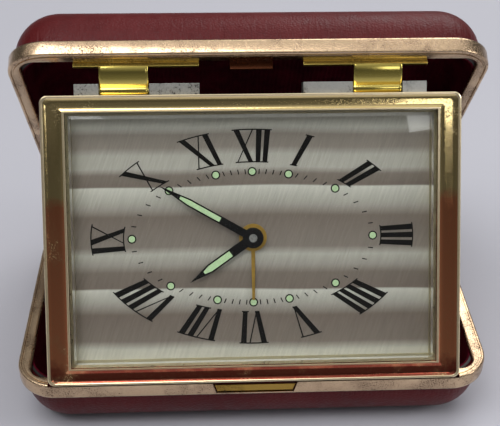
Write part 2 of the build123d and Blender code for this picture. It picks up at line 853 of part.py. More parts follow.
def numeral_strokes(text):
    """Strokes of a Roman numeral as four-cornered shapes, centred on the origin."""
    glyph_width = {"I": stem_width, "V": v_width, "X": x_width}
    total = sum(glyph_width[letter] for letter in text) + glyph_gap * (len(text) - 1)
    top = numeral_height / 2
    strokes = []
    left = -total / 2
    for letter in text:
        right = left + glyph_width[letter]
        if letter == "I":
            strokes.append(slanted(left, left, stem_width, top))
        if letter == "V":
            foot = left + glyph_width[letter] / 2
            strokes.append(slanted(left, foot - stem_width / 2, stem_width, top))
            strokes.append(slanted(right - hairline_width, foot, hairline_width, top))
        if letter == "X":
            strokes.append(slanted(left, right - stem_width, stem_width, top))
            strokes.append(slanted(right - hairline_width, left, hairline_width, top))
        left = right + glyph_gap
    strokes.append(serif(-total / 2, total / 2, top))
    left = -total / 2
    for letter in text:
        if letter != "V":
            strokes.append(serif(left, left + glyph_width[letter], hairline_width - top))
        left += glyph_width[letter] + glyph_gap
    return strokes


def serif(left, right, edge):
    """Thin line across the ends of strokes, with points enough to follow the ring."""
    start = left - serif_overhang
    step = (right - left + 2 * serif_overhang) / serif_steps
    upper = [(start + i * step, edge) for i in range(serif_steps + 1)]
    return upper + [(x, edge - hairline_width) for x, y in reversed(upper)]


def on_ring(points, hour_angle):
    """Points of a numeral set on the elliptical ring, with strokes that point to the middle and fan out."""
    placed = []
    for x, y in points:
        radius_x = numeral_ring_radius_x + y
        radius_y = numeral_ring_radius_y + y
        across = x * (1 + numeral_fan * y / numeral_height)
        reach = hypot(*ring_point(radius_x, radius_y, hour_angle))
        placed.append(ring_point(radius_x, radius_y, hour_angle + degrees(across / reach)))
    return placed


# Roman hours, each with its foot towards the middle of the dial
hour_texts = ["XII", "I", "II", "III", "IIII", "V", "VI", "VII", "VIII", "IX", "X", "XI"]
hour_step = 360 / hours_on_dial
with BuildPart() as numerals:
    for hour, text in enumerate(hour_texts):
        with BuildSketch(clock_plane.offset(-surround_back)):
            for stroke in numeral_strokes(text):
                with BuildLine():
                    Polyline(*on_ring(stroke, hour * hour_step), close=True)
                make_face()
        extrude(amount=numeral_thickness)
finish(numerals, "numerals")

# Minute track: a tick at every minute that has no hour dot
minute_step = 360 / minutes_on_dial
with BuildPart() as minute_track:
    with BuildSketch(clock_plane.offset(-surround_back)):
        for minute in range(minutes_on_dial):
            if minute % (minutes_on_dial // hours_on_dial):
                middle = ring_point(hour_ring_radius_x, hour_ring_radius_y, minute * minute_step)
                corners = [
                    (-tick_width / 2, tick_length / 2),
                    (tick_width / 2, tick_length / 2),
                    (tick_width / 2, -tick_length / 2),
                    (-tick_width / 2, -tick_length / 2),
                ]
                with BuildLine():
                    Polyline(*turned(corners, minute * minute_step, middle), close=True)
                make_face()
    extrude(amount=numeral_thickness)
finish(minute_track, "minute_track")

# Luminous hour dots, each in a dark ring
dot_angles = [hour * hour_step for hour in range(hours_on_dial)]
dot_places = [ring_point(hour_ring_radius_x, hour_ring_radius_y, angle) for angle in dot_angles]
with BuildPart() as hour_dots:
    with BuildSketch(clock_plane.offset(-surround_back)):
        with Locations(*dot_places):
            Circle(dot_radius)
    extrude(amount=dot_thickness)
finish(hour_dots, "hour_dots")
with BuildPart() as dot_rings:
    with BuildSketch(clock_plane.offset(-surround_back)):
        with Locations(*dot_places):
            Circle(dot_radius + dot_ring_width)
            Circle(dot_radius, mode=Mode.SUBTRACT)
    extrude(amount=numeral_thickness)
finish(dot_rings, "dot_rings")


def hand_outline(length, width):
    """Outline of a luminous hand: even in width up to its shoulder, then a long point."""
    half = width / 2
    shoulder = hand_shoulder_share * length
    return [(-half, 0), (-half, shoulder), (0, length), (half, shoulder), (half, 0)]


def slot_outline(length, width):
    """Outline of the luminous slot in a hand, which narrows past the shoulder."""
    half = width / 2 - hand_edge
    tip = hand_slot_tip_width / 2
    start = hand_slot_start_share * length
    shoulder = hand_shoulder_share * length
    end = hand_slot_end_share * length
    return [(-half, start), (-half, shoulder), (-tip, end), (tip, end), (half, shoulder), (half, start)]


def pointer_hand(length, width, hour_angle, level, bore):
    """Black hand with an open slot and a round hub that sits on its tube."""
    with BuildPart() as hand:
        with BuildSketch(clock_plane.offset(-level)):
            with BuildLine():
                Polyline(*turned(hand_outline(length, width), hour_angle, centre), close=True)
            make_face()
            Circle(hand_hub_radius)
            Circle(bore, mode=Mode.SUBTRACT)
            with BuildLine():
                Polyline(*turned(slot_outline(length, width), hour_angle, centre), close=True)
            make_face(mode=Mode.SUBTRACT)
        extrude(amount=hand_thickness)
    return hand


def lume_insert(length, width, hour_angle, level):
    """Pale luminous filling of a hand's slot."""
    with BuildPart() as insert:
        with BuildSketch(clock_plane.offset(-level)):
            with BuildLine():
                Polyline(*turned(slot_outline(length, width), hour_angle, centre), close=True)
            make_face()
        extrude(amount=hand_thickness)
    return insert


# Hands and their luminous fillings
hour_shape = (hour_hand_length, hour_hand_width, hour_hand_angle, hour_hand_level)
minute_shape = (minute_hand_length, minute_hand_width, minute_hand_angle, minute_hand_level)
finish(pointer_hand(*hour_shape, hour_tube_radius), "hour_hand")
finish(lume_insert(*hour_shape), "hour_hand_lume")
finish(pointer_hand(*minute_shape, cannon_radius), "minute_hand")
finish(lume_insert(*minute_shape), "minute_hand_lume")
with BuildPart() as alarm_hand:
    root = alarm_hand_width / 2
    tip = alarm_hand_tip_width / 2
    pointer = [(-root, 0), (-tip, alarm_hand_length), (tip, alarm_hand_length), (root, 0)]
    with BuildSketch(clock_plane.offset(-alarm_hand_level)):
        with BuildLine():
            Polyline(*turned(pointer, alarm_hand_angle, centre), close=True)
        make_face()
        Circle(alarm_disc_radius)
        Circle(alarm_tube_radius, mode=Mode.SUBTRACT)
    extrude(amount=hand_thickness)
finish(alarm_hand, "alarm_hand")


def spiral_outline(place, inner, outer, turns, strip):
    """Inner and outer edges of a flat spiral spring as points along each edge."""
    steps = turns * spiral_points_per_turn
    inside = []
    outside = []
    for i in range(steps + 1):
        angle = 360 * turns * i / steps
        radius = inner + (outer - inner) * i / steps
        inside.append(polar(radius - strip / 2, angle, place))
        outside.append(polar(radius + strip / 2, angle, place))
    return inside, outside


def spiral_spring(place, inner, outer, turns, strip, back, height):
    """Flat spiral spring wound round one of the clock's arbors."""
    inside, outside = spiral_outline(place, inner, outer, turns, strip)
    with BuildPart() as spring:
        with BuildSketch(clock_plane.offset(-back)):
            with BuildLine():
                Spline(*inside)
                Line(inside[-1], outside[-1])
                Spline(*outside)
                Line(inside[0], outside[0])
            make_face()
        extrude(amount=height)
    return spring


def barrel_drum(place, teeth, module):
    """Going barrel: a toothed floor with a drum wall that holds the mainspring."""
    drum_radius = teeth * module / 2 - drum_margin
    drum_back = barrel_level - wheel_thickness
    with BuildPart() as drum:
        with BuildSketch(clock_plane.offset(-barrel_level)):
            with BuildLine():
                Polyline(*tooth_outline(place, teeth, module, 0, wheel_tooth_shares), close=True)
            make_face()
            with Locations(place):
                Circle(winding_arbor_radius + running_clearance, mode=Mode.SUBTRACT)
        extrude(amount=wheel_thickness)
        with BuildSketch(clock_plane.offset(-drum_back)):
            with Locations(place):
                Circle(drum_radius)
                Circle(drum_radius - drum_wall, mode=Mode.SUBTRACT)
        extrude(amount=drum_height)
    return drum


def winding_key(place):
    """Winding key with its arbor, ratchet wheel and two wings."""
    key_front = cover_back + key_collar_height
    key_back = key_front + key_height
    ratchet_front = back_plate_back + running_clearance
    with BuildPart() as key:
        with BuildSketch(clock_plane.offset(-key_back)):
            with Locations(place):
                Circle(key_hub_radius)
                SlotOverall(key_wing_span, key_wing_thickness)
        extrude(amount=key_height)
        with BuildSketch(clock_plane.offset(-key_front)):
            with Locations(place):
                Circle(winding_arbor_radius)
        extrude(amount=key_front - front_plate_front)
        saw_teeth = ratchet_outline(place, ratchet_teeth, ratchet_radius, ratchet_tooth_depth)
        with BuildSketch(clock_plane.offset(-ratchet_front - ratchet_thickness)):
            with BuildLine():
                Polyline(*saw_teeth, close=True)
            make_face()
        extrude(amount=ratchet_thickness)
    return key


def setting_knob(place, gears):
    """Fluted setting knob on an arbor that carries wheels behind the dial."""
    knob_front = cover_back + knob_gap
    knob_back = knob_front + knob_height
    with BuildPart() as knob:
        for points, back, thickness in gears:
            with BuildSketch(clock_plane.offset(-back)):
                with BuildLine():
                    Polyline(*points, close=True)
                make_face()
            extrude(amount=thickness)
        with BuildSketch(clock_plane.offset(-knob_front)):
            with Locations(place):
                Circle(arbor_radius)
        extrude(amount=knob_front - dial_back - running_clearance)
        with BuildSketch(clock_plane.offset(-knob_back)):
            with Locations(place):
                Circle(knob_radius)
                with PolarLocations(knob_radius, knob_flutes):
                    Circle(knob_flute_radius, mode=Mode.SUBTRACT)
        extrude(amount=knob_height)
    return knob


def lever(place, arms, thickness_back, thickness, hub_radius, head=None):
    """Flat lever on an arbor: arms given as (length, angle, width), with an optional round head."""
    with BuildPart() as piece:
        with BuildSketch(clock_plane.offset(-thickness_back)):
            with Locations(place):
                Circle(hub_radius)
            for length, angle, width in arms:
                tip = polar(length, angle, place)
                side = polar(width / 2, angle + 90)
                with BuildLine():
                    Polyline(
                        (place[0] + side[0], place[1] + side[1]),
                        (tip[0] + side[0], tip[1] + side[1]),
                        (tip[0] - side[0], tip[1] - side[1]),
                        (place[0] - side[0], place[1] - side[1]),
                        close=True,
                    )
                make_face()
            if head:
                with Locations(polar(head[0], head[1], place)):
                    Circle(head[2])
        extrude(amount=thickness)
        with BuildSketch(clock_plane.offset(-back_plate_back)):
            with Locations(place):
                Circle(arbor_radius)
        extrude(amount=back_plate_back - front_plate_front)
    return piece


def pierced_plate(back):
    """Movement plate with a hole for every arbor and every pillar."""
    with BuildPart() as plate:
        with BuildSketch(clock_plane.offset(-back)):
            RectangleRounded(plate_width, plate_height, plate_corner)
            with Locations(centre, *plain_arbors, *set_arbors):
                Circle(arbor_radius + running_clearance, mode=Mode.SUBTRACT)
            with Locations(*winding_arbors):
                Circle(winding_arbor_radius + running_clearance, mode=Mode.SUBTRACT)
            with Locations(*pillar_places):
                Circle(pillar_tail_radius, mode=Mode.SUBTRACT)
        extrude(amount=plate_thickness)
    return plate


# Depths of the trains' wheels between the plates
centre_level = front_plate_back + motion_layer
third_level = centre_level + motion_layer + pinion_overlap
fourth_level = third_level + motion_layer + pinion_overlap
escape_level = fourth_level + motion_layer + pinion_overlap
barrel_level = back_plate_front - wheel_thickness
pinion_thickness = wheel_thickness + 2 * pinion_overlap
train_arbor = (arbor_radius, back_plate_back, front_plate_front)

# Movement plates, the back one with studs for the clicks
click_offset = hypot(ratchet_radius + click_gap, click_length)
click_swing = degrees(atan2(ratchet_radius + click_gap, click_length))
click_places = [polar(click_offset, click_angle, place) for place in winding_arbors]
finish(pierced_plate(front_plate_back), "front_plate")
with BuildPart() as back_plate:
    add(pierced_plate(back_plate_back).part)
    with BuildSketch(clock_plane.offset(-back_plate_back)):
        with Locations(*click_places):
            Circle(click_stud_radius)
    extrude(amount=-(ratchet_space - running_clearance))
finish(back_plate, "back_plate")

with BuildPart() as plate_pillars:
    with BuildSketch(clock_plane.offset(-back_plate_front)):
        with Locations(*pillar_places):
            Circle(pillar_radius)
    extrude(amount=plate_spacing)
    with BuildSketch(clock_plane.offset(-can_back)):
        with Locations(*pillar_places):
            Circle(pillar_tail_radius)
    extrude(amount=can_back - back_plate_front)
    with BuildSketch(clock_plane.offset(-front_plate_back)):
        with Locations(*pillar_places):
            Circle(pillar_tail_radius)
    extrude(amount=plate_thickness)
    with BuildSketch(clock_plane.offset(-can_back)):
        with Locations(*pillar_places):
            Circle(cover_screw_radius)
    extrude(amount=cover_screw_length, mode=Mode.SUBTRACT)
finish(plate_pillars, "plate_pillars")

# Can round the movement, its back cover and the cover's screws
with BuildPart() as clock_can:
    with BuildSketch(clock_plane.offset(-can_back)):
        RectangleRounded(can_width, can_height, can_corner)
        RectangleRounded(
            can_width - 2 * can_wall,
            can_height - 2 * can_wall,
            can_corner - can_wall,
            mode=Mode.SUBTRACT,
        )
    extrude(amount=can_back - bezel_thickness)
finish(clock_can, "clock_can")

stop_rest_x = stop_x - stop_travel / 2
with BuildPart() as back_cover:
    with BuildSketch(clock_plane.offset(-cover_back)):
        RectangleRounded(can_width, can_height, can_corner)
        with Locations(*set_arbors):
            Circle(arbor_radius + knob_gap, mode=Mode.SUBTRACT)
        with Locations(*winding_arbors):
            Circle(winding_arbor_radius + knob_gap, mode=Mode.SUBTRACT)
        with Locations(*pillar_places):
            Circle(cover_screw_radius, mode=Mode.SUBTRACT)
        with Locations((stop_x, stop_y)):
            Rectangle(stop_slot_length, stop_slot_width, mode=Mode.SUBTRACT)
    extrude(amount=cover_thickness)
finish(back_cover, "back_cover")

with BuildPart() as cover_screws:
    with BuildSketch(clock_plane.offset(-cover_back)):
        with Locations(*pillar_places):
            Circle(cover_screw_radius)
    extrude(amount=cover_thickness + cover_screw_length)
    with BuildSketch(clock_plane.offset(-cover_back)):
        with Locations(*pillar_places):
            Circle(cover_screw_head_radius)
    extrude(amount=-cover_screw_head_height)
    with BuildSketch(clock_plane.offset(-cover_back - cover_screw_head_height)):
        with Locations(*pillar_places):
            Rectangle(2 * cover_screw_head_radius, cover_screw_slot_width)
    extrude(amount=cover_screw_slot_depth, mode=Mode.SUBTRACT)
finish(cover_screws, "cover_screws")

# Alarm stop: a button that slides in the cover's slot on a plate behind it
with BuildPart() as alarm_stop_button:
    with BuildSketch(clock_plane.offset(-can_back + running_clearance)):
        with Locations((stop_rest_x, stop_y)):
            Rectangle(stop_plate_length, stop_plate_width)
    extrude(amount=stop_plate_thickness)
    with BuildSketch(clock_plane.offset(-can_back + running_clearance)):
        with Locations((stop_rest_x, stop_y)):
            Rectangle(stop_button_length, stop_slot_width - 2 * press_gap)
    extrude(amount=-(cover_thickness + running_clearance + stop_button_height))
finish(alarm_stop_button, "alarm_stop_button")

# Motion work: cannon pinion, minute wheel with its knob, hour wheel, and the alarm's setting wheels
minute_phase = mesh_phase(cannon_teeth, minute_wheel_teeth, time_set_angle, 0)
hour_phase = mesh_phase(minute_pinion_teeth, hour_wheel_teeth, time_set_angle + 180, 0)
alarm_phase = mesh_phase(alarm_pinion_teeth, alarm_wheel_teeth, alarm_set_angle + 180, 0)
tube_front = minute_hand_level - hand_thickness - hand_gap
cannon_pinion = wheel_assembly(
    centre,
    [
        (
            tooth_outline(centre, cannon_teeth, motion_module, 0, pinion_tooth_shares),
            minute_wheel_level + pinion_overlap,
            pinion_thickness,
        )
    ],
    [(cannon_radius, minute_wheel_level, tube_front)],
    [(cannon_bore, minute_wheel_level + pinion_overlap, tube_front)],
)
finish(cannon_pinion, "cannon_pinion")
hour_wheel = wheel_assembly(
    centre,
    [
        (
            tooth_outline(centre, hour_wheel_teeth, hour_module, hour_phase, wheel_tooth_shares),
            hour_wheel_level,
            wheel_thickness,
        )
    ],
    [(hour_tube_radius, hour_wheel_level, hour_hand_level - hand_thickness)],
    [(hour_bore, hour_wheel_level, hour_hand_level - hand_thickness)],
)
finish(hour_wheel, "hour_wheel")
alarm_wheel = wheel_assembly(
    centre,
    [
        (
            tooth_outline(centre, alarm_wheel_teeth, motion_module, alarm_phase, wheel_tooth_shares),
            alarm_wheel_level,
            wheel_thickness,
        )
    ],
    [(alarm_tube_radius, alarm_wheel_level, alarm_hand_level - hand_thickness)],
    [(alarm_bore, alarm_wheel_level, alarm_hand_level - hand_thickness)],
)
finish(alarm_wheel, "alarm_wheel")
minute_gears = [
    (
        tooth_outline(time_set_place, minute_wheel_teeth, motion_module, minute_phase, wheel_tooth_shares),
        minute_wheel_level,
        wheel_thickness,
    ),
    (
        tooth_outline(time_set_place, minute_pinion_teeth, hour_module, 0, pinion_tooth_shares),
        hour_wheel_level + pinion_overlap,
        pinion_thickness,
    ),
]
finish(setting_knob(time_set_place, minute_gears), "time_set_knob")
alarm_gears = [
    (
        tooth_outline(alarm_set_place, alarm_pinion_teeth, motion_module, 0, pinion_tooth_shares),
        alarm_wheel_level + pinion_overlap,
        pinion_thickness,
    )
]
finish(setting_knob(alarm_set_place, alarm_gears), "alarm_set_knob")

# Going train: barrel, centre, third, fourth and escape wheels
finish(barrel_drum(barrel_place, barrel_teeth, barrel_module), "time_barrel")
finish(barrel_drum(alarm_barrel_place, alarm_barrel_teeth, alarm_module), "alarm_barrel")
for name, place, teeth, module in (
    ("time_mainspring", barrel_place, barrel_teeth, barrel_module),
    ("alarm_mainspring", alarm_barrel_place, alarm_barrel_teeth, alarm_module),
):
    spring_outer = teeth * module / 2 - drum_margin - drum_wall - spring_strip / 2
    spring_inner = winding_arbor_radius + 2 * spring_strip
    spring_back = barrel_level - wheel_thickness
    spring_height = drum_height - running_clearance
    spring = spiral_spring(
        place, spring_inner, spring_outer, mainspring_turns, spring_strip, spring_back, spring_height
    )
    finish(spring, name)
finish(winding_key(barrel_place), "time_winding_key")
finish(winding_key(alarm_barrel_place), "alarm_winding_key")
train = [
    (
        "centre_wheel",
        centre,
        [
            (centre_wheel_teeth, train_module, 0, wheel_tooth_shares, centre_level),
            (
                centre_pinion_teeth,
                barrel_module,
                mesh_phase(barrel_teeth, centre_pinion_teeth, barrel_angle + 180, 0),
                pinion_tooth_shares,
                barrel_level,
            ),
        ],
    ),
    (
        "third_wheel",
        third_place,
        [
            (third_wheel_teeth, train_module, 0, wheel_tooth_shares, third_level),
            (
                third_pinion_teeth,
                train_module,
                mesh_phase(centre_wheel_teeth, third_pinion_teeth, third_angle, 0),
                pinion_tooth_shares,
                centre_level,
            ),
        ],
    ),
    (
        "fourth_wheel",
        fourth_place,
        [
            (fourth_wheel_teeth, escape_module, 0, wheel_tooth_shares, fourth_level),
            (
                fourth_pinion_teeth,
                train_module,
                mesh_phase(third_wheel_teeth, fourth_pinion_teeth, fourth_angle, 0),
                pinion_tooth_shares,
                third_level,
            ),
        ],
    ),
]
for name, place, gears in train:
    outlines = []
    for teeth, module, phase, shares, level in gears:
        extra = pinion_overlap if shares is pinion_tooth_shares else 0
        points = tooth_outline(place, teeth, module, phase, shares)
        outlines.append((points, level + extra, wheel_thickness + 2 * extra))
    shaft = train_arbor
    if name == "centre_wheel":
        shaft = (centre_arbor_radius, back_plate_back, tube_front)
    finish(wheel_assembly(place, outlines, [shaft]), name)
escape_phase = mesh_phase(fourth_wheel_teeth, escape_pinion_teeth, escape_angle, 0)
escape_wheel = wheel_assembly(
    escape_place,
    [
        (
            tooth_outline(
                escape_place,
                escape_pinion_teeth,
                escape_module,
                escape_phase,
                pinion_tooth_shares,
            ),
            fourth_level + pinion_overlap,
            pinion_thickness,
        ),
        (
            ratchet_outline(escape_place, escape_teeth, escape_radius, escape_tooth_depth),
            escape_level,
            escape_thickness,
        ),
    ],
    [train_arbor],
)
finish(escape_wheel, "escape_wheel")

# Pallet lever and balance, with the pallets held clear of the escape wheel
to_escape = pallet_angle + 180
pallet_arms = [
    (anchor_arm, to_escape - anchor_angle, pallet_width),
    (anchor_arm, to_escape + anchor_angle, pallet_width),
    (pallet_arm, balance_angle, pallet_width),
]
finish(lever(pallet_place, pallet_arms, escape_level, pallet_thickness, arbor_hub_radius), "pallet_lever")
balance_level = third_level + motion_layer + pinion_overlap
with BuildPart() as balance_wheel:
    with BuildSketch(clock_plane.offset(-balance_level)):
        with Locations(balance_place):
            Circle(balance_radius)
            Circle(balance_radius - balance_rim_width, mode=Mode.SUBTRACT)
            Rectangle(2 * balance_radius - balance_rim_width, balance_spoke_width)
            Circle(arbor_hub_radius)
    extrude(amount=balance_thickness)
    with BuildSketch(clock_plane.offset(-back_plate_back)):
        with Locations(balance_place):
            Circle(arbor_radius)
    extrude(amount=back_plate_back - front_plate_front)
finish(balance_wheel, "balance_wheel")

# Hairspring, held by a stud on the front plate
hairspring_back = front_plate_back + motion_layer + hairspring_height / 2
finish(
    spiral_spring(
        balance_place,
        hairspring_inner,
        hairspring_outer,
        hairspring_turns,
        hairspring_strip,
        hairspring_back,
        hairspring_height,
    ),
    "hairspring",
)
stud_centre = polar(hairspring_outer + hairspring_strip / 2 + stud_size / 2, 0, balance_place)
with BuildPart() as hairspring_stud:
    with BuildSketch(clock_plane.offset(-hairspring_back)):
        with Locations(stud_centre):
            Rectangle(stud_size, stud_size)
    extrude(amount=hairspring_back - front_plate_back)
finish(hairspring_stud, "hairspring_stud")

# Alarm train: its escape wheel and the hammer, which strikes the can's wall
alarm_escape_phase = mesh_phase(alarm_barrel_teeth, alarm_escape_pinion_teeth, alarm_escape_angle, 0)
alarm_escape_wheel = wheel_assembly(
    alarm_escape_place,
    [
        (
            tooth_outline(
                alarm_escape_place,
                alarm_escape_pinion_teeth,
                alarm_module,
                alarm_escape_phase,
                pinion_tooth_shares,
            ),
            barrel_level + pinion_overlap,
            pinion_thickness,
        ),
        (
            ratchet_outline(alarm_escape_place, escape_teeth, alarm_escape_radius, escape_tooth_depth),
            centre_level,
            escape_thickness,
        ),
    ],
    [train_arbor],
)
finish(alarm_escape_wheel, "alarm_escape_wheel")
to_alarm_escape = hammer_angle + 180
hammer_arms = [
    (anchor_arm, to_alarm_escape - anchor_angle, pallet_width),
    (anchor_arm, to_alarm_escape + anchor_angle, pallet_width),
    (hammer_arm, hammer_arm_angle, hammer_arm_width),
]
hammer_head = (hammer_arm, hammer_arm_angle, hammer_head_radius)
finish(
    lever(hammer_place, hammer_arms, centre_level, pallet_thickness, arbor_hub_radius, hammer_head),
    "alarm_hammer",
)

# Clicks that hold the ratchets
click_level = back_plate_back + running_clearance + ratchet_thickness
for name, place in (("time_click", click_places[0]), ("alarm_click", click_places[1])):
    click_turn = click_angle + 180 + click_swing
    with BuildPart() as click:
        with BuildSketch(clock_plane.offset(-click_level)):
            tip = polar(click_length, click_turn, place)
            low = polar(click_width, click_turn - 90, place)
            with Locations(place):
                Circle(click_width)
            with BuildLine():
                Polyline(polar(click_width, click_turn + 90, place), tip, low, close=True)
            make_face()
            with Locations(place):
                Circle(click_stud_radius + running_clearance, mode=Mode.SUBTRACT)
        extrude(amount=ratchet_thickness)
    finish(click, name)
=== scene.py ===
"""Dresses the folding travel alarm clock: worn gilt, maroon leather, velvet, a satin dial and a studio."""

import json
import math
from functools import partial
from types import SimpleNamespace

import bmesh
import bpy
from bpy.props import FloatProperty, FloatVectorProperty, PointerProperty
from mathutils import Matrix, Vector


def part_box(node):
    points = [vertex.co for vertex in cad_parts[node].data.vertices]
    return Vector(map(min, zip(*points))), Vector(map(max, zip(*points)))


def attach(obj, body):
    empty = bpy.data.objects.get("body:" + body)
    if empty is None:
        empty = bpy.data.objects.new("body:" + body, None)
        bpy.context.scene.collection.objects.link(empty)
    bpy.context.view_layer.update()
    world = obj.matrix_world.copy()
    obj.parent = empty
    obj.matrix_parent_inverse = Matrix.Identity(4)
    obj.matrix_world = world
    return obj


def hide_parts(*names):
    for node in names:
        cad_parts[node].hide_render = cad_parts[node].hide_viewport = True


bl_info = {
    "name": "Folding travel alarm clock",
    "version": (1, 0, 0),
    "blender": (4, 5, 0),
    "location": "3D View > Sidebar > Travel clock",
    "description": "Dresses the packed clock with its surfaces, finishes and studio",
    "category": "Object",
}

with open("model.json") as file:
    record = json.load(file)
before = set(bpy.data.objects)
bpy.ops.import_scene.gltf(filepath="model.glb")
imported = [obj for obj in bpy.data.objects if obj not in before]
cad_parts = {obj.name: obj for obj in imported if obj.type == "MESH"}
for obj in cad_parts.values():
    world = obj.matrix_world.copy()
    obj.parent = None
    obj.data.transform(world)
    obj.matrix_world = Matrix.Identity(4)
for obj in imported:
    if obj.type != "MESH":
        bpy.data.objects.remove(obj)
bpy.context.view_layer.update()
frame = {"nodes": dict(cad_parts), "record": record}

MM = 0.001
ARC_STEPS = 14
BOX_FACES = [(0, 1, 2, 3), (4, 5, 6, 7), (0, 1, 5, 4), (1, 2, 6, 5), (2, 3, 7, 6), (3, 0, 4, 7)]
JOINTS = {joint["name"]: joint for joint in frame["record"]["behaviour"]["joints"]}


def srgb(text):
    """Linear colour of an sRGB hex value."""
    parts = [int(text[i : i + 2], 16) / 255 for i in (0, 2, 4)]
    return tuple(p / 12.92 if p <= 0.04045 else ((p + 0.055) / 1.055) ** 2.4 for p in parts) + (1.0,)


# Local frames of the base, the lid and the clock's face, read from the joints
HINGE = Vector(JOINTS["lid_hinge"]["pos_m"])
PIVOT = Vector(JOINTS["clock_hinge"]["pos_m"])
FACE_OUT = Vector(JOINTS["time_set_spin"]["axis"]).normalized()
FACE_UP = FACE_OUT.cross(Vector((1, 0, 0)))
FULL_OPENING = 175.0
LID_ANGLE = math.radians(FULL_OPENING - JOINTS["lid_hinge"]["range_deg"][1])


def axes_matrix(origin, x_axis, z_axis):
    """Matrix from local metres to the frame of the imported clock."""
    y_axis = z_axis.cross(x_axis)
    turned = Matrix((x_axis, y_axis, z_axis)).transposed().to_4x4()
    return Matrix.Translation(origin) @ turned


BASE_FRAME = axes_matrix(HINGE, Vector((1, 0, 0)), Vector((0, 0, 1)))
LID_FRAME = axes_matrix(HINGE, Vector((-1, 0, 0)), Vector((0, -math.sin(LID_ANGLE), -math.cos(LID_ANGLE))))
STRAP_FRAME = axes_matrix(PIVOT, Vector((0, -math.cos(LID_ANGLE), math.sin(LID_ANGLE))), Vector((1, 0, 0)))
HALVES = (("base", BASE_FRAME), ("lid", LID_FRAME))


def length(name, description, millimetres):
    """Property that holds a length, with its default given in millimetres."""
    return FloatProperty(name=name, description=description, default=millimetres * MM, unit="LENGTH")


def angle(name, description, degrees):
    """Property that holds an angle, with its default given in degrees."""
    return FloatProperty(name=name, description=description, default=math.radians(degrees), unit="ROTATION")


def colour(name, description, text):
    """Property that holds a colour, with its default given as an sRGB hex value."""
    return FloatVectorProperty(
        name=name, description=description, default=srgb(text), size=4, min=0.0, max=1.0, subtype="COLOR"
    )


class ClockCaseSizes(bpy.types.PropertyGroup):
    """Sizes of the case halves."""

    width: length("Width", "Width of the gilt rim", 108.0)
    depth: length("Depth", "Depth of the gilt rim", 78.0)
    hinge_back: length("Hinge back", "From the rim's rear face to the hinge line", 2.0)
    half_height: length("Half height", "Height of one half", 15.3)
    corner: length("Corner", "Corner radius of the rim in plan", 9.5)
    lip_gap: length("Lip gap", "Gap between the closed lips", 0.3)
    lip_width: length("Lip width", "Width of the flat lip", 3.3)
    lip_corner: length("Lip corner", "Inner corner radius of the lip", 3.6)
    lip_thickness: length("Lip thickness", "Thickness of the lip", 0.9)
    band_height: length("Band height", "Height of the outer band", 3.7)
    leather_inset: length("Leather inset", "Band face to leather", 1.0)
    leather_corner: length("Leather corner", "Corner radius of the leather", 10.6)
    floor_radius: length("Floor radius", "Rounding of the leather's floor edge", 10.0)
    leather_thickness: length("Leather thickness", "Thickness of the leather", 1.2)
    window_width: length("Window width", "Width of the catch's window at its top", 19.5)
    window_taper: length("Window taper", "How far each end of the window leans in", 1.0)
    window_depth: length("Window depth", "From the lip down to the window's lower edge", 3.1)


class ClockHeadSizes(bpy.types.PropertyGroup):
    """Sizes of the bezel and of the straps that carry it."""

    width: length("Width", "Width of the bezel", 92.2)
    height: length("Height", "Height of the bezel", 64.1)
    thickness: length("Thickness", "Thickness of the bezel", 3.0)
    corner: length("Corner", "Corner radius of the bezel", 1.6)
    side_frame: length("Side frame", "Width of the bezel's left and right bars", 5.25)
    end_frame: length("End frame", "Width of the bezel's top and bottom bars", 3.8)
    dish: length("Dish", "Depth of the concave face", 0.35)
    seat: length("Seat", "Depth of the crystal's seat", 1.2)
    flange: length("Flange", "Width of the crystal's flange", 0.8)
    pivot_behind: length("Pivot behind", "Hinge line behind the bezel's face", 5.0)
    pivot_above: length("Pivot above", "Hinge line above the bezel's top", 1.0)
    strap_width: length("Strap width", "Width of a hinge strap", 10.8)
    strap_thickness: length("Strap thickness", "Thickness of a strap's sheet", 0.9)
    strap_curl: length("Strap curl", "Outer radius of the strap's curl round its pin", 2.0)
    strap_reach: length("Strap reach", "From the hinge line to the strap's face inside the lid", 4.9)
    strap_centre: length("Strap centre", "Strap's middle from the clock's middle", 28.0)
    plate_inner: length("Plate inner", "Strap plate's reach to the middle", 16.55)
    plate_outer: length("Plate outer", "Strap plate's reach to the side", 10.95)


class ClockFinishes(bpy.types.PropertyGroup):
    """Colours and grain of the finishes."""

    leather: colour("Leather", "Main colour of the leather", "570c0f")
    velvet: colour("Velvet", "Colour of the lining", "54041a")
    gilt: colour("Gilt", "Colour of the rims' gilding", "dcbf9c")
    polish: colour("Polished gold", "Colour of the bezel", "e8cf92")
    strap: colour("Strap gold", "Colour of the straps", "dcc96e")
    silver: colour("Silvering", "Colour of the dial", "cccbc1")
    lume: colour("Lume", "Colour of the luminous paint", "b4d0a2")
    grain: length("Leather grain", "Size of one leather pebble", 0.55)


class ClockStage(bpy.types.PropertyGroup):
    """Camera, lamps and floor."""

    camera_at: FloatVectorProperty(
        name="Camera", description="Camera position", default=(-0.00983, -0.20693, 0.17296), unit="LENGTH"
    )
    camera_down: angle("Down", "Camera's tilt below the horizon", 33.16)
    camera_turn: angle("Turn", "Camera's turn about Z", -3.01)
    camera_roll: angle("Roll", "Camera's roll", 0.75)
    lens: FloatProperty(name="Lens", description="Focal length in mm", default=72.95, unit="CAMERA")
    shift_x: FloatProperty(
        name="Shift X", description="Sideways, as a share of the frame", default=-0.0064, subtype="FACTOR"
    )
    shift_y: FloatProperty(
        name="Shift Y", description="Upwards, as a share of the frame", default=-0.0188, subtype="FACTOR"
    )
    lamp_power: FloatProperty(name="Lamp", description="Power of the main lamp", default=2.9, unit="POWER")
    floor: colour("Floor", "Colour of the floor", "bdbdc5")


def in_mm(sizes):
    """The lengths of a property group, in millimetres."""
    return SimpleNamespace(**{key: getattr(sizes, key) / MM for key in sizes.__annotations__})


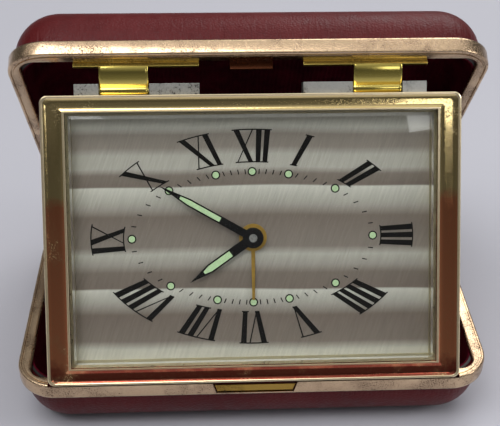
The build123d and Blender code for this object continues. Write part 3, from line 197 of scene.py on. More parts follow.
# Nodes and materials


def add_node(tree, kind, sockets=None, **settings):
    """One node, with its sockets set to values or linked from (node, output), and its settings.

    The setting stops holds a colour ramp's stops as (position, colour).
    """
    node = tree.nodes.new("ShaderNode" + kind)
    for key, value in settings.items():
        if key == "stops":
            elements = node.color_ramp.elements
            elements[0].position, elements[0].color = value[0]
            elements[1].position, elements[1].color = value[-1]
            for position, shade in value[1:-1]:
                elements.new(position).color = shade
        else:
            setattr(node, key, value)
    for key, value in (sockets or {}).items():
        if isinstance(value, tuple) and isinstance(value[0], bpy.types.Node):
            tree.links.new(value[0].outputs[value[1]], node.inputs[key])
        else:
            node.inputs[key].default_value = value
    return node


def new_material(name):
    """Empty material, what adds a node to it, and the output that gives places on it in metres."""
    material = bpy.data.materials.new(name)
    material.use_nodes = True
    material.node_tree.nodes.clear()
    add = partial(add_node, material.node_tree)
    return material, add, (add("TexCoord"), "Object")


def close_material(material, shader):
    """Joins a shader to the material's output and gives the material back."""
    add_node(material.node_tree, "OutputMaterial", {"Surface": (shader, 0)})
    return material


def linear(tone):
    """Linear colour of a finish, given as an sRGB hex value or as a property's linear colour."""
    return srgb(tone) if isinstance(tone, str) else tuple(tone)


def grey(level):
    """Opaque grey for a ramp that carries a number."""
    return (level, level, level, 1.0)


def shaded(tone, share, lift=0.0):
    """A colour times a share, with a little added, never over white."""
    return tuple(min(1.0, c * share + lift) for c in tone[:3]) + (1.0,)


def per_mm(size):
    """Noise scale for a feature of that size in millimetres, in coordinates of metres."""
    return 1.0 / (size * MM)


def leather_material(finishes):
    """Maroon leatherette, PVC embossed on cloth.

    It gives a fine pebble, a soft sheen, clouded colour, and stretch lines where it is pulled over the rim.
    """
    material, add, place = new_material("maroon_embossed_leatherette")
    blotch = add("TexNoise", {"Vector": place, "Scale": per_mm(26), "Detail": 3.0})
    fine = add("TexNoise", {"Vector": place, "Scale": per_mm(2.2), "Detail": 4.0})
    mixed = add("Mix", {"Factor": 0.35, "A": (blotch, "Fac"), "B": (fine, "Fac")}, data_type="FLOAT")
    base = linear(finishes.leather)
    clouds = [(0.3, shaded(base, 0.72)), (0.52, base), (0.74, shaded(base, 1.25, 0.008))]
    tone = add("ValToRGB", {"Fac": (mixed, 0)}, stops=clouds)
    pebble = add(
        "TexVoronoi",
        {"Vector": place, "Scale": per_mm(finishes.grain / MM), "Randomness": 1.0},
        feature="F1",
    )
    hollow = add("ValToRGB", {"Fac": (pebble, "Distance")}, stops=[(0.15, grey(1.0)), (0.75, grey(0.0))])
    # Stretch lines 0.8 mm apart and 9 mm long, only where the skin turns over the rim
    near_rim = add("Attribute", attribute_name="near_rim")
    stretched = add("Mapping", {"Vector": place, "Scale": (per_mm(0.8), per_mm(9.0), per_mm(9.0))})
    pucker = add("TexNoise", {"Vector": (stretched, 0), "Scale": 1.0, "Detail": 2.0})
    puckered = add("Math", {0: (pucker, "Fac"), 1: (near_rim, "Fac")}, operation="MULTIPLY")
    pebbled = add("Bump", {"Strength": 0.35, "Distance": 0.12 * MM, "Height": (hollow, "Color")})
    creased = add(
        "Bump", {"Strength": 0.8, "Distance": 0.6 * MM, "Height": (puckered, 0), "Normal": (pebbled, 0)}
    )
    gloss = add("ValToRGB", {"Fac": (fine, "Fac")}, stops=[(0.3, grey(0.34)), (0.7, grey(0.5))])
    shader = add(
        "BsdfPrincipled",
        {
            "Base Color": (tone, "Color"),
            "Roughness": (gloss, "Color"),
            "Normal": (creased, 0),
            "Specular IOR Level": 0.22,
            "Sheen Weight": 0.02,
            "Sheen Roughness": 0.4,
            "Sheen Tint": (1.0, 0.8, 0.8, 1.0),
        },
    )
    return close_material(material, shader)


def velvet_material(finishes):
    """Ribbed rayon velvet, woven and brushed.

    It gives a deep red that is dark head on and paler at a glancing view, with ribs about 1 mm apart.
    """
    material, add, place = new_material("ribbed_rayon_velvet")
    # One unit of this texture's scale is 20 radians of its wave
    ribs = add(
        "TexWave",
        {"Vector": place, "Scale": per_mm(1.1) / 20 * 2 * math.pi, "Distortion": 0.4, "Detail": 1.0},
        wave_type="BANDS",
        bands_direction="X",
        wave_profile="SIN",
    )
    nap = add("TexNoise", {"Vector": place, "Scale": per_mm(6), "Detail": 5.0})
    base = linear(finishes.velvet)
    tone = add("ValToRGB", {"Fac": (nap, "Fac")}, stops=[(0.35, shaded(base, 0.45)), (0.7, base)])
    bump = add("Bump", {"Strength": 0.6, "Distance": 0.3 * MM, "Height": (ribs, "Fac")})
    shader = add(
        "BsdfPrincipled",
        {
            "Base Color": (tone, "Color"),
            "Roughness": 0.95,
            "Specular IOR Level": 0.1,
            "Normal": (bump, 0),
            "Sheen Weight": 0.4,
            "Sheen Roughness": 0.3,
            "Sheen Tint": (0.3, 0.02, 0.05, 1.0),
        },
    )
    return close_material(material, shader)


def worn_metal(
    name, bright, worn, shares, rough, pit_mm=0.35, depth_mm=0.05, specks=0.12, painted_reflection=None
):
    """Plated metal, buffed and then worn in use.

    It gives a clear gloss that turns dull in patches, peppered with pits drawn coarser than real ones so
    that they show.

    shares: noise levels at which a patch starts and is fully worn
    rough: roughness of the fresh and of the worn plating
    specks: how much the pits show outside the patches
    painted_reflection: colours of two painted reflections, one at the foot and one above it, changing by height
    """
    material, add, place = new_material(name)
    patches = add("TexNoise", {"Vector": place, "Scale": per_mm(9), "Detail": 6.0, "Roughness": 0.65})
    pits = add("TexNoise", {"Vector": place, "Scale": per_mm(pit_mm), "Detail": 3.0, "Roughness": 0.7})
    start, full = shares
    wear = add("ValToRGB", {"Fac": (patches, "Fac")}, stops=[(start, grey(0.0)), (full, grey(1.0))])
    speckle = add("ValToRGB", {"Fac": (pits, "Fac")}, stops=[(0.52, grey(0.0)), (0.66, grey(1.0))])
    both = add("Math", {0: (wear, "Color"), 1: (speckle, "Color")}, operation="MULTIPLY")
    strewn = add("Math", {0: (speckle, "Color"), 1: specks, 2: (both, 0)}, operation="MULTIPLY_ADD")
    dulled = add(
        "Math", {0: (wear, "Color"), 1: 0.4, 2: (strewn, 0)}, operation="MULTIPLY_ADD", use_clamp=True
    )
    fresh = bright = linear(bright)
    # Painted reflection: red at the foot and an orange-brown tone above it stand in for what the polished metal
    # mirrors
    if painted_reflection:
        # Heights between which the painted reflections change, from red to orange-brown to the plate's own
        # colour, with an edge made ragged by the patches
        foot, lower_reflection = (srgb(tone) for tone in painted_reflection)
        split = add("SeparateXYZ", {"Vector": place})
        ragged = add("Math", {0: (patches, "Fac"), 1: 12 * MM, 2: (split, "Z")}, operation="MULTIPLY_ADD")
        share = add("MapRange", {"Value": (ragged, 0), "From Min": 18 * MM, "From Max": 66 * MM})
        stops = [(0.0, foot), (0.13, foot), (0.18, lower_reflection), (0.79, lower_reflection), (0.85, bright), (1.0, bright)]
        fresh = (add("ValToRGB", {"Fac": (share, 0)}, stops=stops), "Color")
    tone = add("Mix", {"Factor": (dulled, 0), "A": fresh, "B": srgb(worn)}, data_type="RGBA")
    gloss = add("MapRange", {"Value": (dulled, 0), "To Min": rough[0], "To Max": rough[1]})
    bump = add("Bump", {"Strength": 0.5, "Distance": depth_mm * MM, "Height": (strewn, 0)}, invert=True)
    shader = add(
        "BsdfPrincipled",
        {"Base Color": (tone, "Result"), "Metallic": 1.0, "Roughness": (gloss, 0), "Normal": (bump, 0)},
    )
    return close_material(material, shader)


def brushed_dial_material(finishes):
    """Silvered brass plate, brushed and lacquered.

    It gives slanting brush lines and broad soft bands across the plate, two of them with a crisp edge.
    """
    material, add, place = new_material("silvered_brushed_dial_plate")
    turned = add("Mapping", {"Vector": place, "Rotation": (0.0, math.radians(68), 0.0)}, vector_type="POINT")
    # Brush lines 0.3 mm apart, coarser than real ones so that they show
    lines = add("Mapping", {"Vector": (turned, 0), "Scale": (per_mm(5), per_mm(9), per_mm(0.32))})
    brush = add("TexNoise", {"Vector": (lines, 0), "Scale": 1.0, "Detail": 2.0})
    split = add("SeparateXYZ", {"Vector": place})
    sway = add("TexNoise", {"Vector": place, "Scale": per_mm(60), "Detail": 1.0})
    height = add("Math", {0: (sway, "Fac"), 1: 4 * MM, 2: (split, "Z")}, operation="MULTIPLY_ADD")
    low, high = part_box("dial")
    middle_sway = 2 * MM
    level = add(
        "MapRange", {"Value": (height, 0), "From Min": low.z + middle_sway, "From Max": high.z + middle_sway}
    )
    # Levels from the foot of the dial to its head, with two crisp edges
    tones = (
        (0.0, 0.45), (0.03, 0.9), (0.067, 0.85), (0.10, 0.15), (0.20, 0.08), (0.24, 0.5), (0.295, 1.0),
        (0.30, 0.1), (0.36, 0.12), (0.39, 0.45), (0.43, 0.7), (0.46, 0.2), (0.58, 0.1), (0.62, 0.5),
        (0.695, 1.0), (0.70, 0.1), (0.745, 0.15), (0.77, 0.65), (0.82, 0.65), (0.85, 0.25), (0.90, 0.2),
        (0.93, 0.8), (0.98, 0.6), (1.0, 0.3),
    )
    stops = [(position, grey(tone)) for position, tone in tones]
    bands = add("ValToRGB", {"Fac": (level, 0)}, stops=stops)
    silver = linear(finishes.silver)
    shade = tuple(c * s for c, s in zip(silver[:3], (0.24, 0.175, 0.155))) + (1.0,)
    banded = add("Mix", {"Factor": (bands, "Color"), "A": shade, "B": silver}, data_type="RGBA")
    streak = add(
        "MapRange",
        {"Value": (brush, "Fac"), "From Min": 0.3, "From Max": 0.7, "To Min": 0.88, "To Max": 1.06},
    )
    lined = add("VectorMath", {0: (banded, "Result"), "Scale": (streak, 0)}, operation="SCALE")
    bump = add("Bump", {"Strength": 0.25, "Distance": 0.04 * MM, "Height": (brush, "Fac")})
    shader = add(
        "BsdfPrincipled", {"Base Color": (lined, 0), "Metallic": 0.2, "Roughness": 0.42, "Normal": (bump, 0)}
    )
    return close_material(material, shader)


def plain_material(name, base, metallic, rough, fleck_mm, fleck, bump_mm=0.0, specular=0.5):
    """Plain finish for paint, ink, and rolled, turned and pressed metal.

    It gives a slight mottling in colour and gloss, and with bump_mm a fine unevenness 0.25 mm apart, both
    drawn coarser than real ones so that they show.
    """
    material, add, place = new_material(name)
    mottling = add("TexNoise", {"Vector": place, "Scale": per_mm(fleck_mm), "Detail": 4.0})
    base = linear(base)
    stops = [(0.3, shaded(base, 1 - fleck)), (0.7, shaded(base, 1 + fleck))]
    tone = add("ValToRGB", {"Fac": (mottling, "Fac")}, stops=stops)
    spread = 0.08
    gloss = add(
        "MapRange",
        {
            "Value": (mottling, "Fac"),
            "From Min": 0.3,
            "From Max": 0.7,
            "To Min": rough - spread,
            "To Max": rough + spread,
        },
    )
    links = {
        "Base Color": (tone, "Color"),
        "Metallic": metallic,
        "Roughness": (gloss, 0),
        "Specular IOR Level": specular,
    }
    if bump_mm:
        fine = add("TexNoise", {"Vector": place, "Scale": per_mm(0.25), "Detail": 2.0})
        bump = add("Bump", {"Strength": 0.5, "Distance": bump_mm * MM, "Height": (fine, "Fac")})
        links["Normal"] = (bump, 0)
    return close_material(material, add("BsdfPrincipled", links))


def acrylic_material():
    """Cast acrylic, polished.

    It gives a clear pane with sharp reflections, lets light through to the dial, and has a trace of dust
    in specks of 0.5 mm, coarser than real ones so that they show.
    """
    material, add, place = new_material("polished_clear_acrylic")
    dust = add("TexNoise", {"Vector": place, "Scale": per_mm(0.5), "Detail": 2.0})
    haze = add("ValToRGB", {"Fac": (dust, "Fac")}, stops=[(0.68, grey(0.01)), (0.78, grey(0.12))])
    shader = add(
        "BsdfPrincipled",
        {
            "Base Color": (0.97, 0.985, 0.97, 1.0),
            "Roughness": (haze, "Color"),
            "IOR": 1.49,
            "Transmission Weight": 1.0,
        },
    )
    path = add("LightPath")
    clear = add("BsdfTransparent", {"Color": (0.96, 0.97, 0.96, 1.0)})
    both = add("MixShader", {0: (path, "Is Shadow Ray"), 1: (shader, 0), 2: (clear, 0)})
    return close_material(material, both)


def floor_material(tone):
    """Pale paper, matt, with clouds so faint that it reads as plain."""
    material, add, place = new_material("pale_paper_floor")
    soft = add("TexNoise", {"Vector": place, "Scale": per_mm(120), "Detail": 1.0})
    clouds = add("ValToRGB", {"Fac": (soft, "Fac")}, stops=[(0.3, shaded(tone, 0.97)), (0.7, tone)])
    shader = add(
        "BsdfPrincipled", {"Base Color": (clouds, "Color"), "Roughness": 0.8, "Specular IOR Level": 0.2}
    )
    return close_material(material, shader)


MATERIALS = {}


def make_materials(finishes):
    """Every finish of the clock, made once."""
    MATERIALS["leather"] = leather_material(finishes)
    MATERIALS["velvet"] = velvet_material(finishes)
    MATERIALS["dial"] = brushed_dial_material(finishes)
    MATERIALS["acrylic"] = acrylic_material()
    # For each plated metal: name, fresh and worn colour, where wear starts and is full, roughness, details
    plated = {
        # Thin rose gilding on brass, lacquered: satin, with brown rubbed patches
        "gilt": ("rubbed_rose_gilt_on_brass", finishes.gilt, "77604f", (0.45, 0.63), (0.13, 0.42),
                 {"pit_mm": 0.3, "specks": 0.4}),
        # Gold plate, polished: mirrors the room, with a painted orange-brown reflection on its lower part and a
        # painted red reflection at its foot
        "polish": ("polished_gold_plate_painted_reflection", finishes.polish, "c2ad80", (0.56, 0.74), (0.05, 0.34),
                   {"pit_mm": 0.3, "depth_mm": 0.02, "specks": 0.3, "painted_reflection": ("a04c3c", "f0986c")}),
        # The same plate, painted pale along its edges: a painted highlight as a soft line
        "edge": ("painted_highlight_pale_gold_edge", "fbe8c0", "c0a070", (0.55, 0.75), (0.3, 0.42),
                 {"depth_mm": 0.01}),
        # Bright yellow gold plate on steel sheet: clear highlights along the curl
        "strap": ("bright_gold_plate", finishes.strap, "c09a2c", (0.6, 0.8), (0.16, 0.3), {"depth_mm": 0.02}),
        # Zinc plate on steel, gone dull: grey with dark spots
        "steel": ("zinc_plated_steel", "c6c6c2", "4c4c4a", (0.42, 0.56), (0.36, 0.55), {"pit_mm": 0.5}),
        # Gold plate darkened by thumbs: brownish and soft
        "catch": ("darkened_gold_plate", "b8964a", "4a3a1c", (0.45, 0.7), (0.3, 0.5), {"depth_mm": 0.02}),
        # Gold plate painted nearly dark brown: painted shade for the lid's shade that falls on the tab
        "tab": ("painted_shade_gold_plate", "4e2c1c", "24140e", (0.45, 0.7), (0.25, 0.5), {"depth_mm": 0.02}),
    }
    for key, (name, bright, worn, shares, rough, details) in plated.items():
        MATERIALS[key] = worn_metal(name, bright, worn, shares, rough, **details)
    # For each plain finish: name, colour, metallic, roughness, fleck's size in mm and strength, details
    plain = {
        # Stoved enamel on the hands: black with a soft gloss
        "black": ("black_gloss_enamel", "080708", 0.0, 0.22, 0.6, 0.3, {"specular": 0.3}),
        # Pad-printed ink: black and quite matt, a little uneven
        "ink": ("black_printing_ink", "0c0a09", 0.0, 0.6, 0.25, 0.5, {"specular": 0.05}),
        # Brushed-on luminous paint: pale green, chalky and slightly grainy
        "lume": ("luminous_paint", finishes.lume, 0.0, 0.75, 0.4, 0.1, {"bump_mm": 0.03}),
        # Nickel plate on pressed steel: warm grey and bright
        "can": ("nickel_plated_pressed_steel", "b8b4aa", 1.0, 0.3, 3.0, 0.1, {"bump_mm": 0.01}),
        # Blackened steel tray: dark grey with a dull shine
        "shell": ("blackened_pressed_steel", "3a3634", 0.8, 0.5, 1.5, 0.12, {"bump_mm": 0.02}),
        # Rolled brass sheet: yellow, with a satin shine
        "brass": ("rolled_brass", "c9a24e", 1.0, 0.26, 1.2, 0.1, {"bump_mm": 0.01}),
        # Heat-blued spring steel: deep blue and bright
        "blued": ("blued_spring_steel", "2f3f66", 1.0, 0.25, 0.8, 0.12, {}),
        # Turned and gilded brass: warm yellow and smooth
        "knob": ("turned_gilt_brass", "d8b25c", 1.0, 0.22, 0.8, 0.1, {"bump_mm": 0.01}),
        # Gilded sheet, lacquered: darker yellow, half matt
        "alarm": ("gilt_alarm_hand", "b08c3c", 0.7, 0.4, 1.0, 0.12, {}),
        # Pale gilding on a pressed surround: grey gold, softly bright
        "surround": ("pale_gilt_surround", "b9ae8c", 1.0, 0.35, 1.0, 0.12, {}),
    }
    for key, (*values, details) in plain.items():
        MATERIALS[key] = plain_material(*values, **details)


def finish(key):
    """One of the clock's finishes; all are made when the first is asked for."""
    if not MATERIALS:
        make_materials(bpy.context.scene.travel_clock_finishes)
    return MATERIALS[key]


def paint(key, *nodes, edge_mm=None):
    """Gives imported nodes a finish, and with edge_mm breaks their sharp edges so that they catch the light."""
    for node in nodes:
        obj = frame["nodes"][node]
        obj.data.materials.clear()
        obj.data.materials.append(finish(key))
        if edge_mm:
            weld = obj.modifiers.new("weld", "WELD")
            weld.merge_threshold = 0.002 * MM
            flat = obj.modifiers.new("flat faces", "DECIMATE")
            flat.decimate_type = "DISSOLVE"
            flat.angle_limit = math.radians(1.0)
            bevel = obj.modifiers.new("broken edges", "BEVEL")
            bevel.width = edge_mm * MM
            bevel.segments = 2
            bevel.limit_method = "ANGLE"
            bevel.angle_limit = math.radians(32.0)
            bevel.harden_normals = True


# Mesh tools


def outline(width, depth, radius, middle_y=0.0, along=0):
    """Rounded rectangle as points, anticlockwise from the right side's upper end.

    along: extra points inside each straight side
    """
    points = []
    half_x, half_y = width / 2 - radius, depth / 2 - radius
    for quarter, (sx, sy) in enumerate(((1, 1), (-1, 1), (-1, -1), (1, -1))):
        for step in range(ARC_STEPS + 1):
            turn = math.radians(90) * (quarter + step / ARC_STEPS)
            x = sx * half_x + radius * math.cos(turn)
            points.append((x, sy * half_y + middle_y + radius * math.sin(turn)))
        if along:
            # The straight side runs to where the next corner starts
            start_x, start_y = points[-1]
            end_x, end_y = start_x, start_y
            if quarter in (0, 2):
                end_x = -sx * half_x
            else:
                end_y = -sy * half_y + middle_y
            for step in range(1, along + 1):
                t = step / (along + 1)
                points.append((start_x + (end_x - start_x) * t, start_y + (end_y - start_y) * t))
    return points


def mesh_object(name, vertices, faces):
    """Object from vertices in metres, with its faces turned outwards."""
    mesh = bpy.data.meshes.new(name)
    mesh.from_pydata([tuple(v) for v in vertices], [], faces)
    mesh.validate()
    turned = bmesh.new()
    turned.from_mesh(mesh)
    bmesh.ops.recalc_face_normals(turned, faces=turned.faces)
    turned.to_mesh(mesh)
    turned.free()
    obj = bpy.data.objects.new(name, mesh)
    bpy.context.collection.objects.link(obj)
    return obj


def mesh_piece(name, vertices, faces, key, body, node):
    """Smooth piece with a finish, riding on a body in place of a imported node."""
    obj = mesh_object(name, vertices, faces)
    for polygon in obj.data.polygons:
        polygon.use_smooth = True
    obj.data.materials.append(finish(key))
    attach(obj, body)
    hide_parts(node)
    return obj


def loft(rings, closed=True):
    """Vertices of equally long rings and the faces between them; closed joins the last ring to the first."""
    count = len(rings[0])
    vertices = [point for ring in rings for point in ring]
    faces = []
    for i in range(len(rings) if closed else len(rings) - 1):
        a = i * count
        b = (i + 1) % len(rings) * count
        for j in range(count):
            k = (j + 1) % count
            faces.append((a + j, a + k, b + k, b + j))
    return vertices, faces


def sharpen(obj, angle):
    """Marks edges over an angle as sharp for shading."""
    bpy.context.view_layer.objects.active = obj
    for other in bpy.context.selected_objects:
        other.select_set(False)
    obj.select_set(True)
    bpy.ops.object.shade_smooth_by_angle(angle=math.radians(angle))
    obj.select_set(False)


def cut(obj, cutters):
    """Removes cutters from a piece and deletes them."""
    for cutter in cutters:
        modifier = obj.modifiers.new("cut", "BOOLEAN")
        modifier.operation = "DIFFERENCE"
        modifier.solver = "EXACT"
        modifier.object = cutter
    graph = bpy.context.evaluated_depsgraph_get()
    mesh = bpy.data.meshes.new_from_object(obj.evaluated_get(graph))
    obj.modifiers.clear()
    obj.data = mesh
    for cutter in cutters:
        bpy.data.objects.remove(cutter)


# Pieces


def half_ring(case, half_frame, inset, radius, height, along):
    """One ring of a case half in metres, drawn in from the rim's face, at a height in mm over the lip."""
    middle = -(case.depth / 2 + case.hinge_back)
    points = outline(case.width - 2 * inset, case.depth - 2 * inset, radius, middle, along)
    level = height - case.lip_gap / 2
    return [half_frame @ Vector((x * MM, y * MM, level * MM)) for x, y in points]


def rim_profile(case):
    """Rim's section as (inset, corner radius, height): lip, bead, groove and a softly rounded band."""
    bottom = -case.band_height
    under = -case.lip_thickness
    corner = case.corner
    inner = case.lip_width
    tight = case.lip_corner
    lip = [
        (inner, tight, under + 0.15),
        (inner, tight, -0.3),
        (inner - 0.12, tight + 0.1, -0.08),
        (inner - 0.35, tight + 0.35, 0.0),
        (1.75, corner - 2.6, -0.02),
        (1.32, corner - 1.5, -0.06),
    ]
    groove = [(1.2, -0.24), (0.85, -0.24), (0.74, -0.04), (0.5, 0.0), (0.24, -0.08), (0.07, -0.3)]
    band = [(0.0, -0.62), (0.03, -1.9), (0.02, bottom + 0.5), (0.12, bottom + 0.14), (0.32, bottom)]
    section = lip + [(inset, corner - inset, height) for inset, height in groove + band]
    section += [(0.9, corner - 0.95, bottom + 0.05), (1.0, corner - 1.0, bottom + 0.4)]
    section += [(1.0, corner - 1.0, under), (inner - 0.1, tight + 0.1, under)]
    return section


def swing_cutter(width, radius):
    """Round bar about the clock's hinge line: the space that the clock's foot swings through."""
    steps = 256
    vertices = []
    for x in (-width / 2, width / 2):
        for i in range(steps):
            turn = 2 * math.pi * i / steps
            vertices.append((x, PIVOT.y + radius * math.cos(turn), PIVOT.z + radius * math.sin(turn)))
    faces = [tuple(range(steps)), tuple(range(steps, 2 * steps))]
    faces += [(i, (i + 1) % steps, steps + (i + 1) % steps, steps + i) for i in range(steps)]
    return mesh_object("swing space", vertices, faces)


def window_cutter(case):
    """Tapered block through the base's front band: the window that the catch shows in."""
    above_lip = 0.3
    before_band, behind_band = 2.0, 4.5
    top = case.window_width / 2
    foot = top - case.window_taper
    corners = [(-top, above_lip), (top, above_lip), (foot, -case.window_depth), (-foot, -case.window_depth)]
    front = HINGE.y - (case.depth + case.hinge_back) * MM
    vertices = []
    for y in (front - before_band * MM, front + behind_band * MM):
        vertices += [(x * MM, y, HINGE.z + (z - case.lip_gap / 2) * MM) for x, z in corners]
    return mesh_object("window", vertices, BOX_FACES)


class ClockLeather(bpy.types.Operator):
    """Leather skins of the base and the lid, stretched over the pressed halves."""

    bl_idname = "travel_clock.leather"
    bl_label = "Leather skins"

    def execute(self, context):
        case = in_mm(context.scene.travel_clock_case)
        along = 22
        arc = 12
        pucker_reach = 5.0
        floor = -case.half_height
        inset = case.leather_inset
        corner = case.leather_corner
        rounding = case.floor_radius
        wall_top = -case.lip_thickness - 0.1
        wall_foot = floor + rounding
        wall = (wall_top, -2.4, -3.5, -4.0, -4.5, wall_foot)
        floor_insets, floor_corner, least_corner = (14.0, 19.0, 26.0, 33.0, 37.5), 0.5, 0.6
        # The skin's outside as (inset, corner radius, height): wall, rounded edge, flat floor
        profile = [(inset, corner, height) for height in wall]
        for step in range(1, arc + 1):
            turn = math.radians(90) * step / arc
            drawn = rounding * (1 - math.cos(turn))
            height = floor + rounding * (1 - math.sin(turn))
            profile.append((inset + drawn, max(least_corner, corner - drawn), height))
        profile += [(inset + further, floor_corner, floor) for further in floor_insets]
        clear_of_shell = 0.06
        depth = case.leather_thickness - clear_of_shell
        inside = [(inset + depth, corner - depth, height) for height in (wall_foot, wall_top)]
        for half, half_frame in HALVES:
            rings = [half_ring(case, half_frame, *place, along) for place in profile]
            vertices, faces = loft(rings, closed=False)
            count = len(rings[0])
            faces.append(tuple(range(len(vertices) - count, len(vertices))))
            # The wall's inside, joined to the top of its outside
            offset = len(vertices)
            for place in inside:
                vertices.extend(half_ring(case, half_frame, *place, along))
            for j in range(count):
                k = (j + 1) % count
                faces.append((offset + j, offset + k, offset + count + k, offset + count + j))
                faces.append((offset + count + j, offset + count + k, k, j))
            name, node = f"{half}_leather_skin", f"{half}_leather"
            leather = mesh_piece(name, vertices, faces, "leather", half, node=node)
            # Share of the stretch lines at each ring, fading out below the band
            near_rim = leather.data.attributes.new("near_rim", "FLOAT", "POINT")
            for i, (_, _, height) in enumerate(profile):
                fade = 1.0 - (-case.band_height - height) / pucker_reach
                for j in range(count):
                    near_rim.data[i * count + j].value = max(0.0, min(1.0, fade))
            paint("shell", f"{half}_shell")
        return {"FINISHED"}


class ClockLining(bpy.types.Operator):
    """Velvet linings inside both halves."""

    bl_idname = "travel_clock.lining"
    bl_label = "Velvet linings"

    def execute(self, context):
        paint("velvet", "base_lining", "lid_lining")
        return {"FINISHED"}


class ClockRims(bpy.types.Operator):
    """Gilt rims with their lip, bead, groove and band, the catch, and the rear hinge."""

    bl_idname = "travel_clock.rims"
    bl_label = "Gilt rims"

    def execute(self, context):
        case = in_mm(context.scene.travel_clock_case)
        head = in_mm(context.scene.travel_clock_head)
        along = 30
        foot_clearance, side_clearance = 0.3, 0.5
        for half, half_frame in HALVES:
            rings = [half_ring(case, half_frame, *place, along) for place in rim_profile(case)]
            vertices, faces = loft(rings)
            rim = mesh_piece(
                f"{half}_gilt_rim", vertices, faces, "gilt", half, node=f"{half}_rim"
            )
            if half == "base":
                radius = math.hypot(head.height + head.pivot_above, head.pivot_behind) + foot_clearance
                swing = swing_cutter((head.width + side_clearance) * MM, radius * MM)
                cut(rim, [swing, window_cutter(case)])
            sharpen(rim, 50)
        paint("gilt", "base_hinge_leaf", "lid_hinge_leaf", edge_mm=0.12)
        paint("catch", "base_catch", edge_mm=0.12)
        # The lid's tab gets the painted shade: gold plate made nearly dark brown
        paint("tab", "lid_tab", edge_mm=0.12)
        paint("steel", "main_hinge_pin")
        return {"FINISHED"}


# Heights of a strap plate over the clock's hinge line, and the section across a strap: how far out each
# point lies, as a share of half the width, and how much thinner the strap is there, in mm
PLATE_FOOT, PLATE_TOP = -8.3, -3.45
STRAP_SECTION = ((-1.0, 0.22), (-0.96, 0.06), (-0.88, 0.0), (0.88, 0.0), (0.96, 0.06), (1.0, 0.22))


def strap_line(head):
    """Middle line of a strap: up the lid's wall, over in a bend, and round the pin in a curl."""
    wall = head.strap_reach - head.strap_thickness / 2
    curl = head.strap_curl - head.strap_thickness / 2
    wall_middle, bend_start, bend_pull_x, bend_pull_y = -5.2, -4.1, wall - 0.35, -2.0
    bend_steps, curl_steps, curl_turn = 9, 30, math.radians(332)
    line = [(wall, PLATE_FOOT), (wall, wall_middle), (wall, bend_start)]
    for step in range(1, bend_steps):
        t = step / bend_steps
        s = 1 - t
        x = s * s * wall + 2 * s * t * bend_pull_x + t * t * curl
        line.append((x, s * s * bend_start + 2 * s * t * bend_pull_y))
    for step in range(curl_steps + 1):
        turn = curl_turn * step / curl_steps
        line.append((curl * math.cos(turn), curl * math.sin(turn)))
    return line


class ClockStraps(bpy.types.Operator):
    """Curled gold straps, their rivets, and the steel brackets and pins that they carry."""

    bl_idname = "travel_clock.straps"
    bl_label = "Hinge straps"

    def execute(self, context):
        head = in_mm(context.scene.travel_clock_head)
        line = strap_line(head)
        for name, side in (("left", -1), ("right", 1)):
            centre = side * head.strap_centre
            rings = []
            for i, (x, y) in enumerate(line):
                before = line[max(0, i - 1)]
                after = line[min(len(line) - 1, i + 1)]
                tangent = Vector((after[0] - before[0], after[1] - before[1])).normalized()
                normal = Vector((tangent.y, -tangent.x))
                ring = []
                for face, section in ((1, STRAP_SECTION), (-1, reversed(STRAP_SECTION))):
                    for share, thinner in section:
                        half = face * (head.strap_thickness / 2 - thinner)
                        z = centre + share * head.strap_width / 2
                        place = Vector(((x + normal.x * half) * MM, (y + normal.y * half) * MM, z * MM))
                        ring.append(STRAP_FRAME @ place)
                rings.append(ring)
            vertices, faces = loft(rings, closed=False)
            count = len(rings[0])
            faces.append(tuple(range(count)))
            faces.append(tuple(range(len(vertices) - count, len(vertices))))
            # The wide plate that lies inside the lid's wall
            offset = len(vertices)
            back, front = head.strap_reach - head.strap_thickness, head.strap_reach
            corners = [(back, PLATE_FOOT), (back, PLATE_TOP), (front, PLATE_TOP), (front, PLATE_FOOT)]
            start = centre - (head.plate_inner if side > 0 else head.plate_outer)
            for z in (start, start + head.plate_inner + head.plate_outer):
                vertices += [STRAP_FRAME @ Vector((x * MM, y * MM, z * MM)) for x, y in corners]
            faces += [tuple(offset + i for i in face) for face in BOX_FACES]
            strap = mesh_piece(
                f"{name}_strap", vertices, faces, "strap", "lid", node="hinge_straps"
            )
            edge = strap.modifiers.new("broken edges", "BEVEL")
            edge.width = 0.1 * MM
            edge.segments = 2
            edge.angle_limit = math.radians(50)
            sharpen(strap, 40)
        paint("strap", "strap_rivets")
        paint("steel", "hinge_brackets", edge_mm=0.2)
        paint("steel", "clock_hinge_pins")
        return {"FINISHED"}


def face_centre(head):
    """Middle of the bezel's front face."""
    rise = head.height / 2 + head.pivot_above
    return PIVOT - FACE_UP * rise * MM + FACE_OUT * head.pivot_behind * MM


def bezel_profile(head):
    """Bezel's section as (share of the bar's width from its outer edge, depth behind the face, mm drawn in).

    It runs from the back up the outer side, over a rounded edge, across the concave face and a raised
    line, and down to the crystal's seat.
    """
    back = head.thickness
    side_top, line_foot = 0.07, 0.09
    hollow_start, hollow_width, hollow_steps, hollow_power = 0.16, 0.72, 12, 5
    profile = [
        (0.0, back, 0.25),
        (0.0, back - 0.25, 0.0),
        (0.0, 0.35, 0.0),
        (0.0, 0.12, 0.08),
        (0.0, 0.0, 0.3),
        (0.0, 0.0, 0.62),
        (0.0, side_top, 0.78),
    ]
    for step in range(1, hollow_steps):
        sag = 1 - abs(2 * step / hollow_steps - 1) ** hollow_power
        share = hollow_start + hollow_width * step / hollow_steps
        profile.append((share, side_top + (head.dish - side_top) * sag, 0.0))
    profile += [(0.905, line_foot, 0.0), (0.925, 0.0, 0.0), (0.985, 0.0, 0.0)]
    profile += [(1.0, 0.08, 0.0), (1.0, head.seat, 0.0)]
    return profile


# Strips of the bezel's profile painted pale gold as a painted highlight: its outer edge, and the raised line
# round the crystal
PAINTED_HIGHLIGHT_STRIPS = (2, 3, 4, 5, 18, 19, 20)


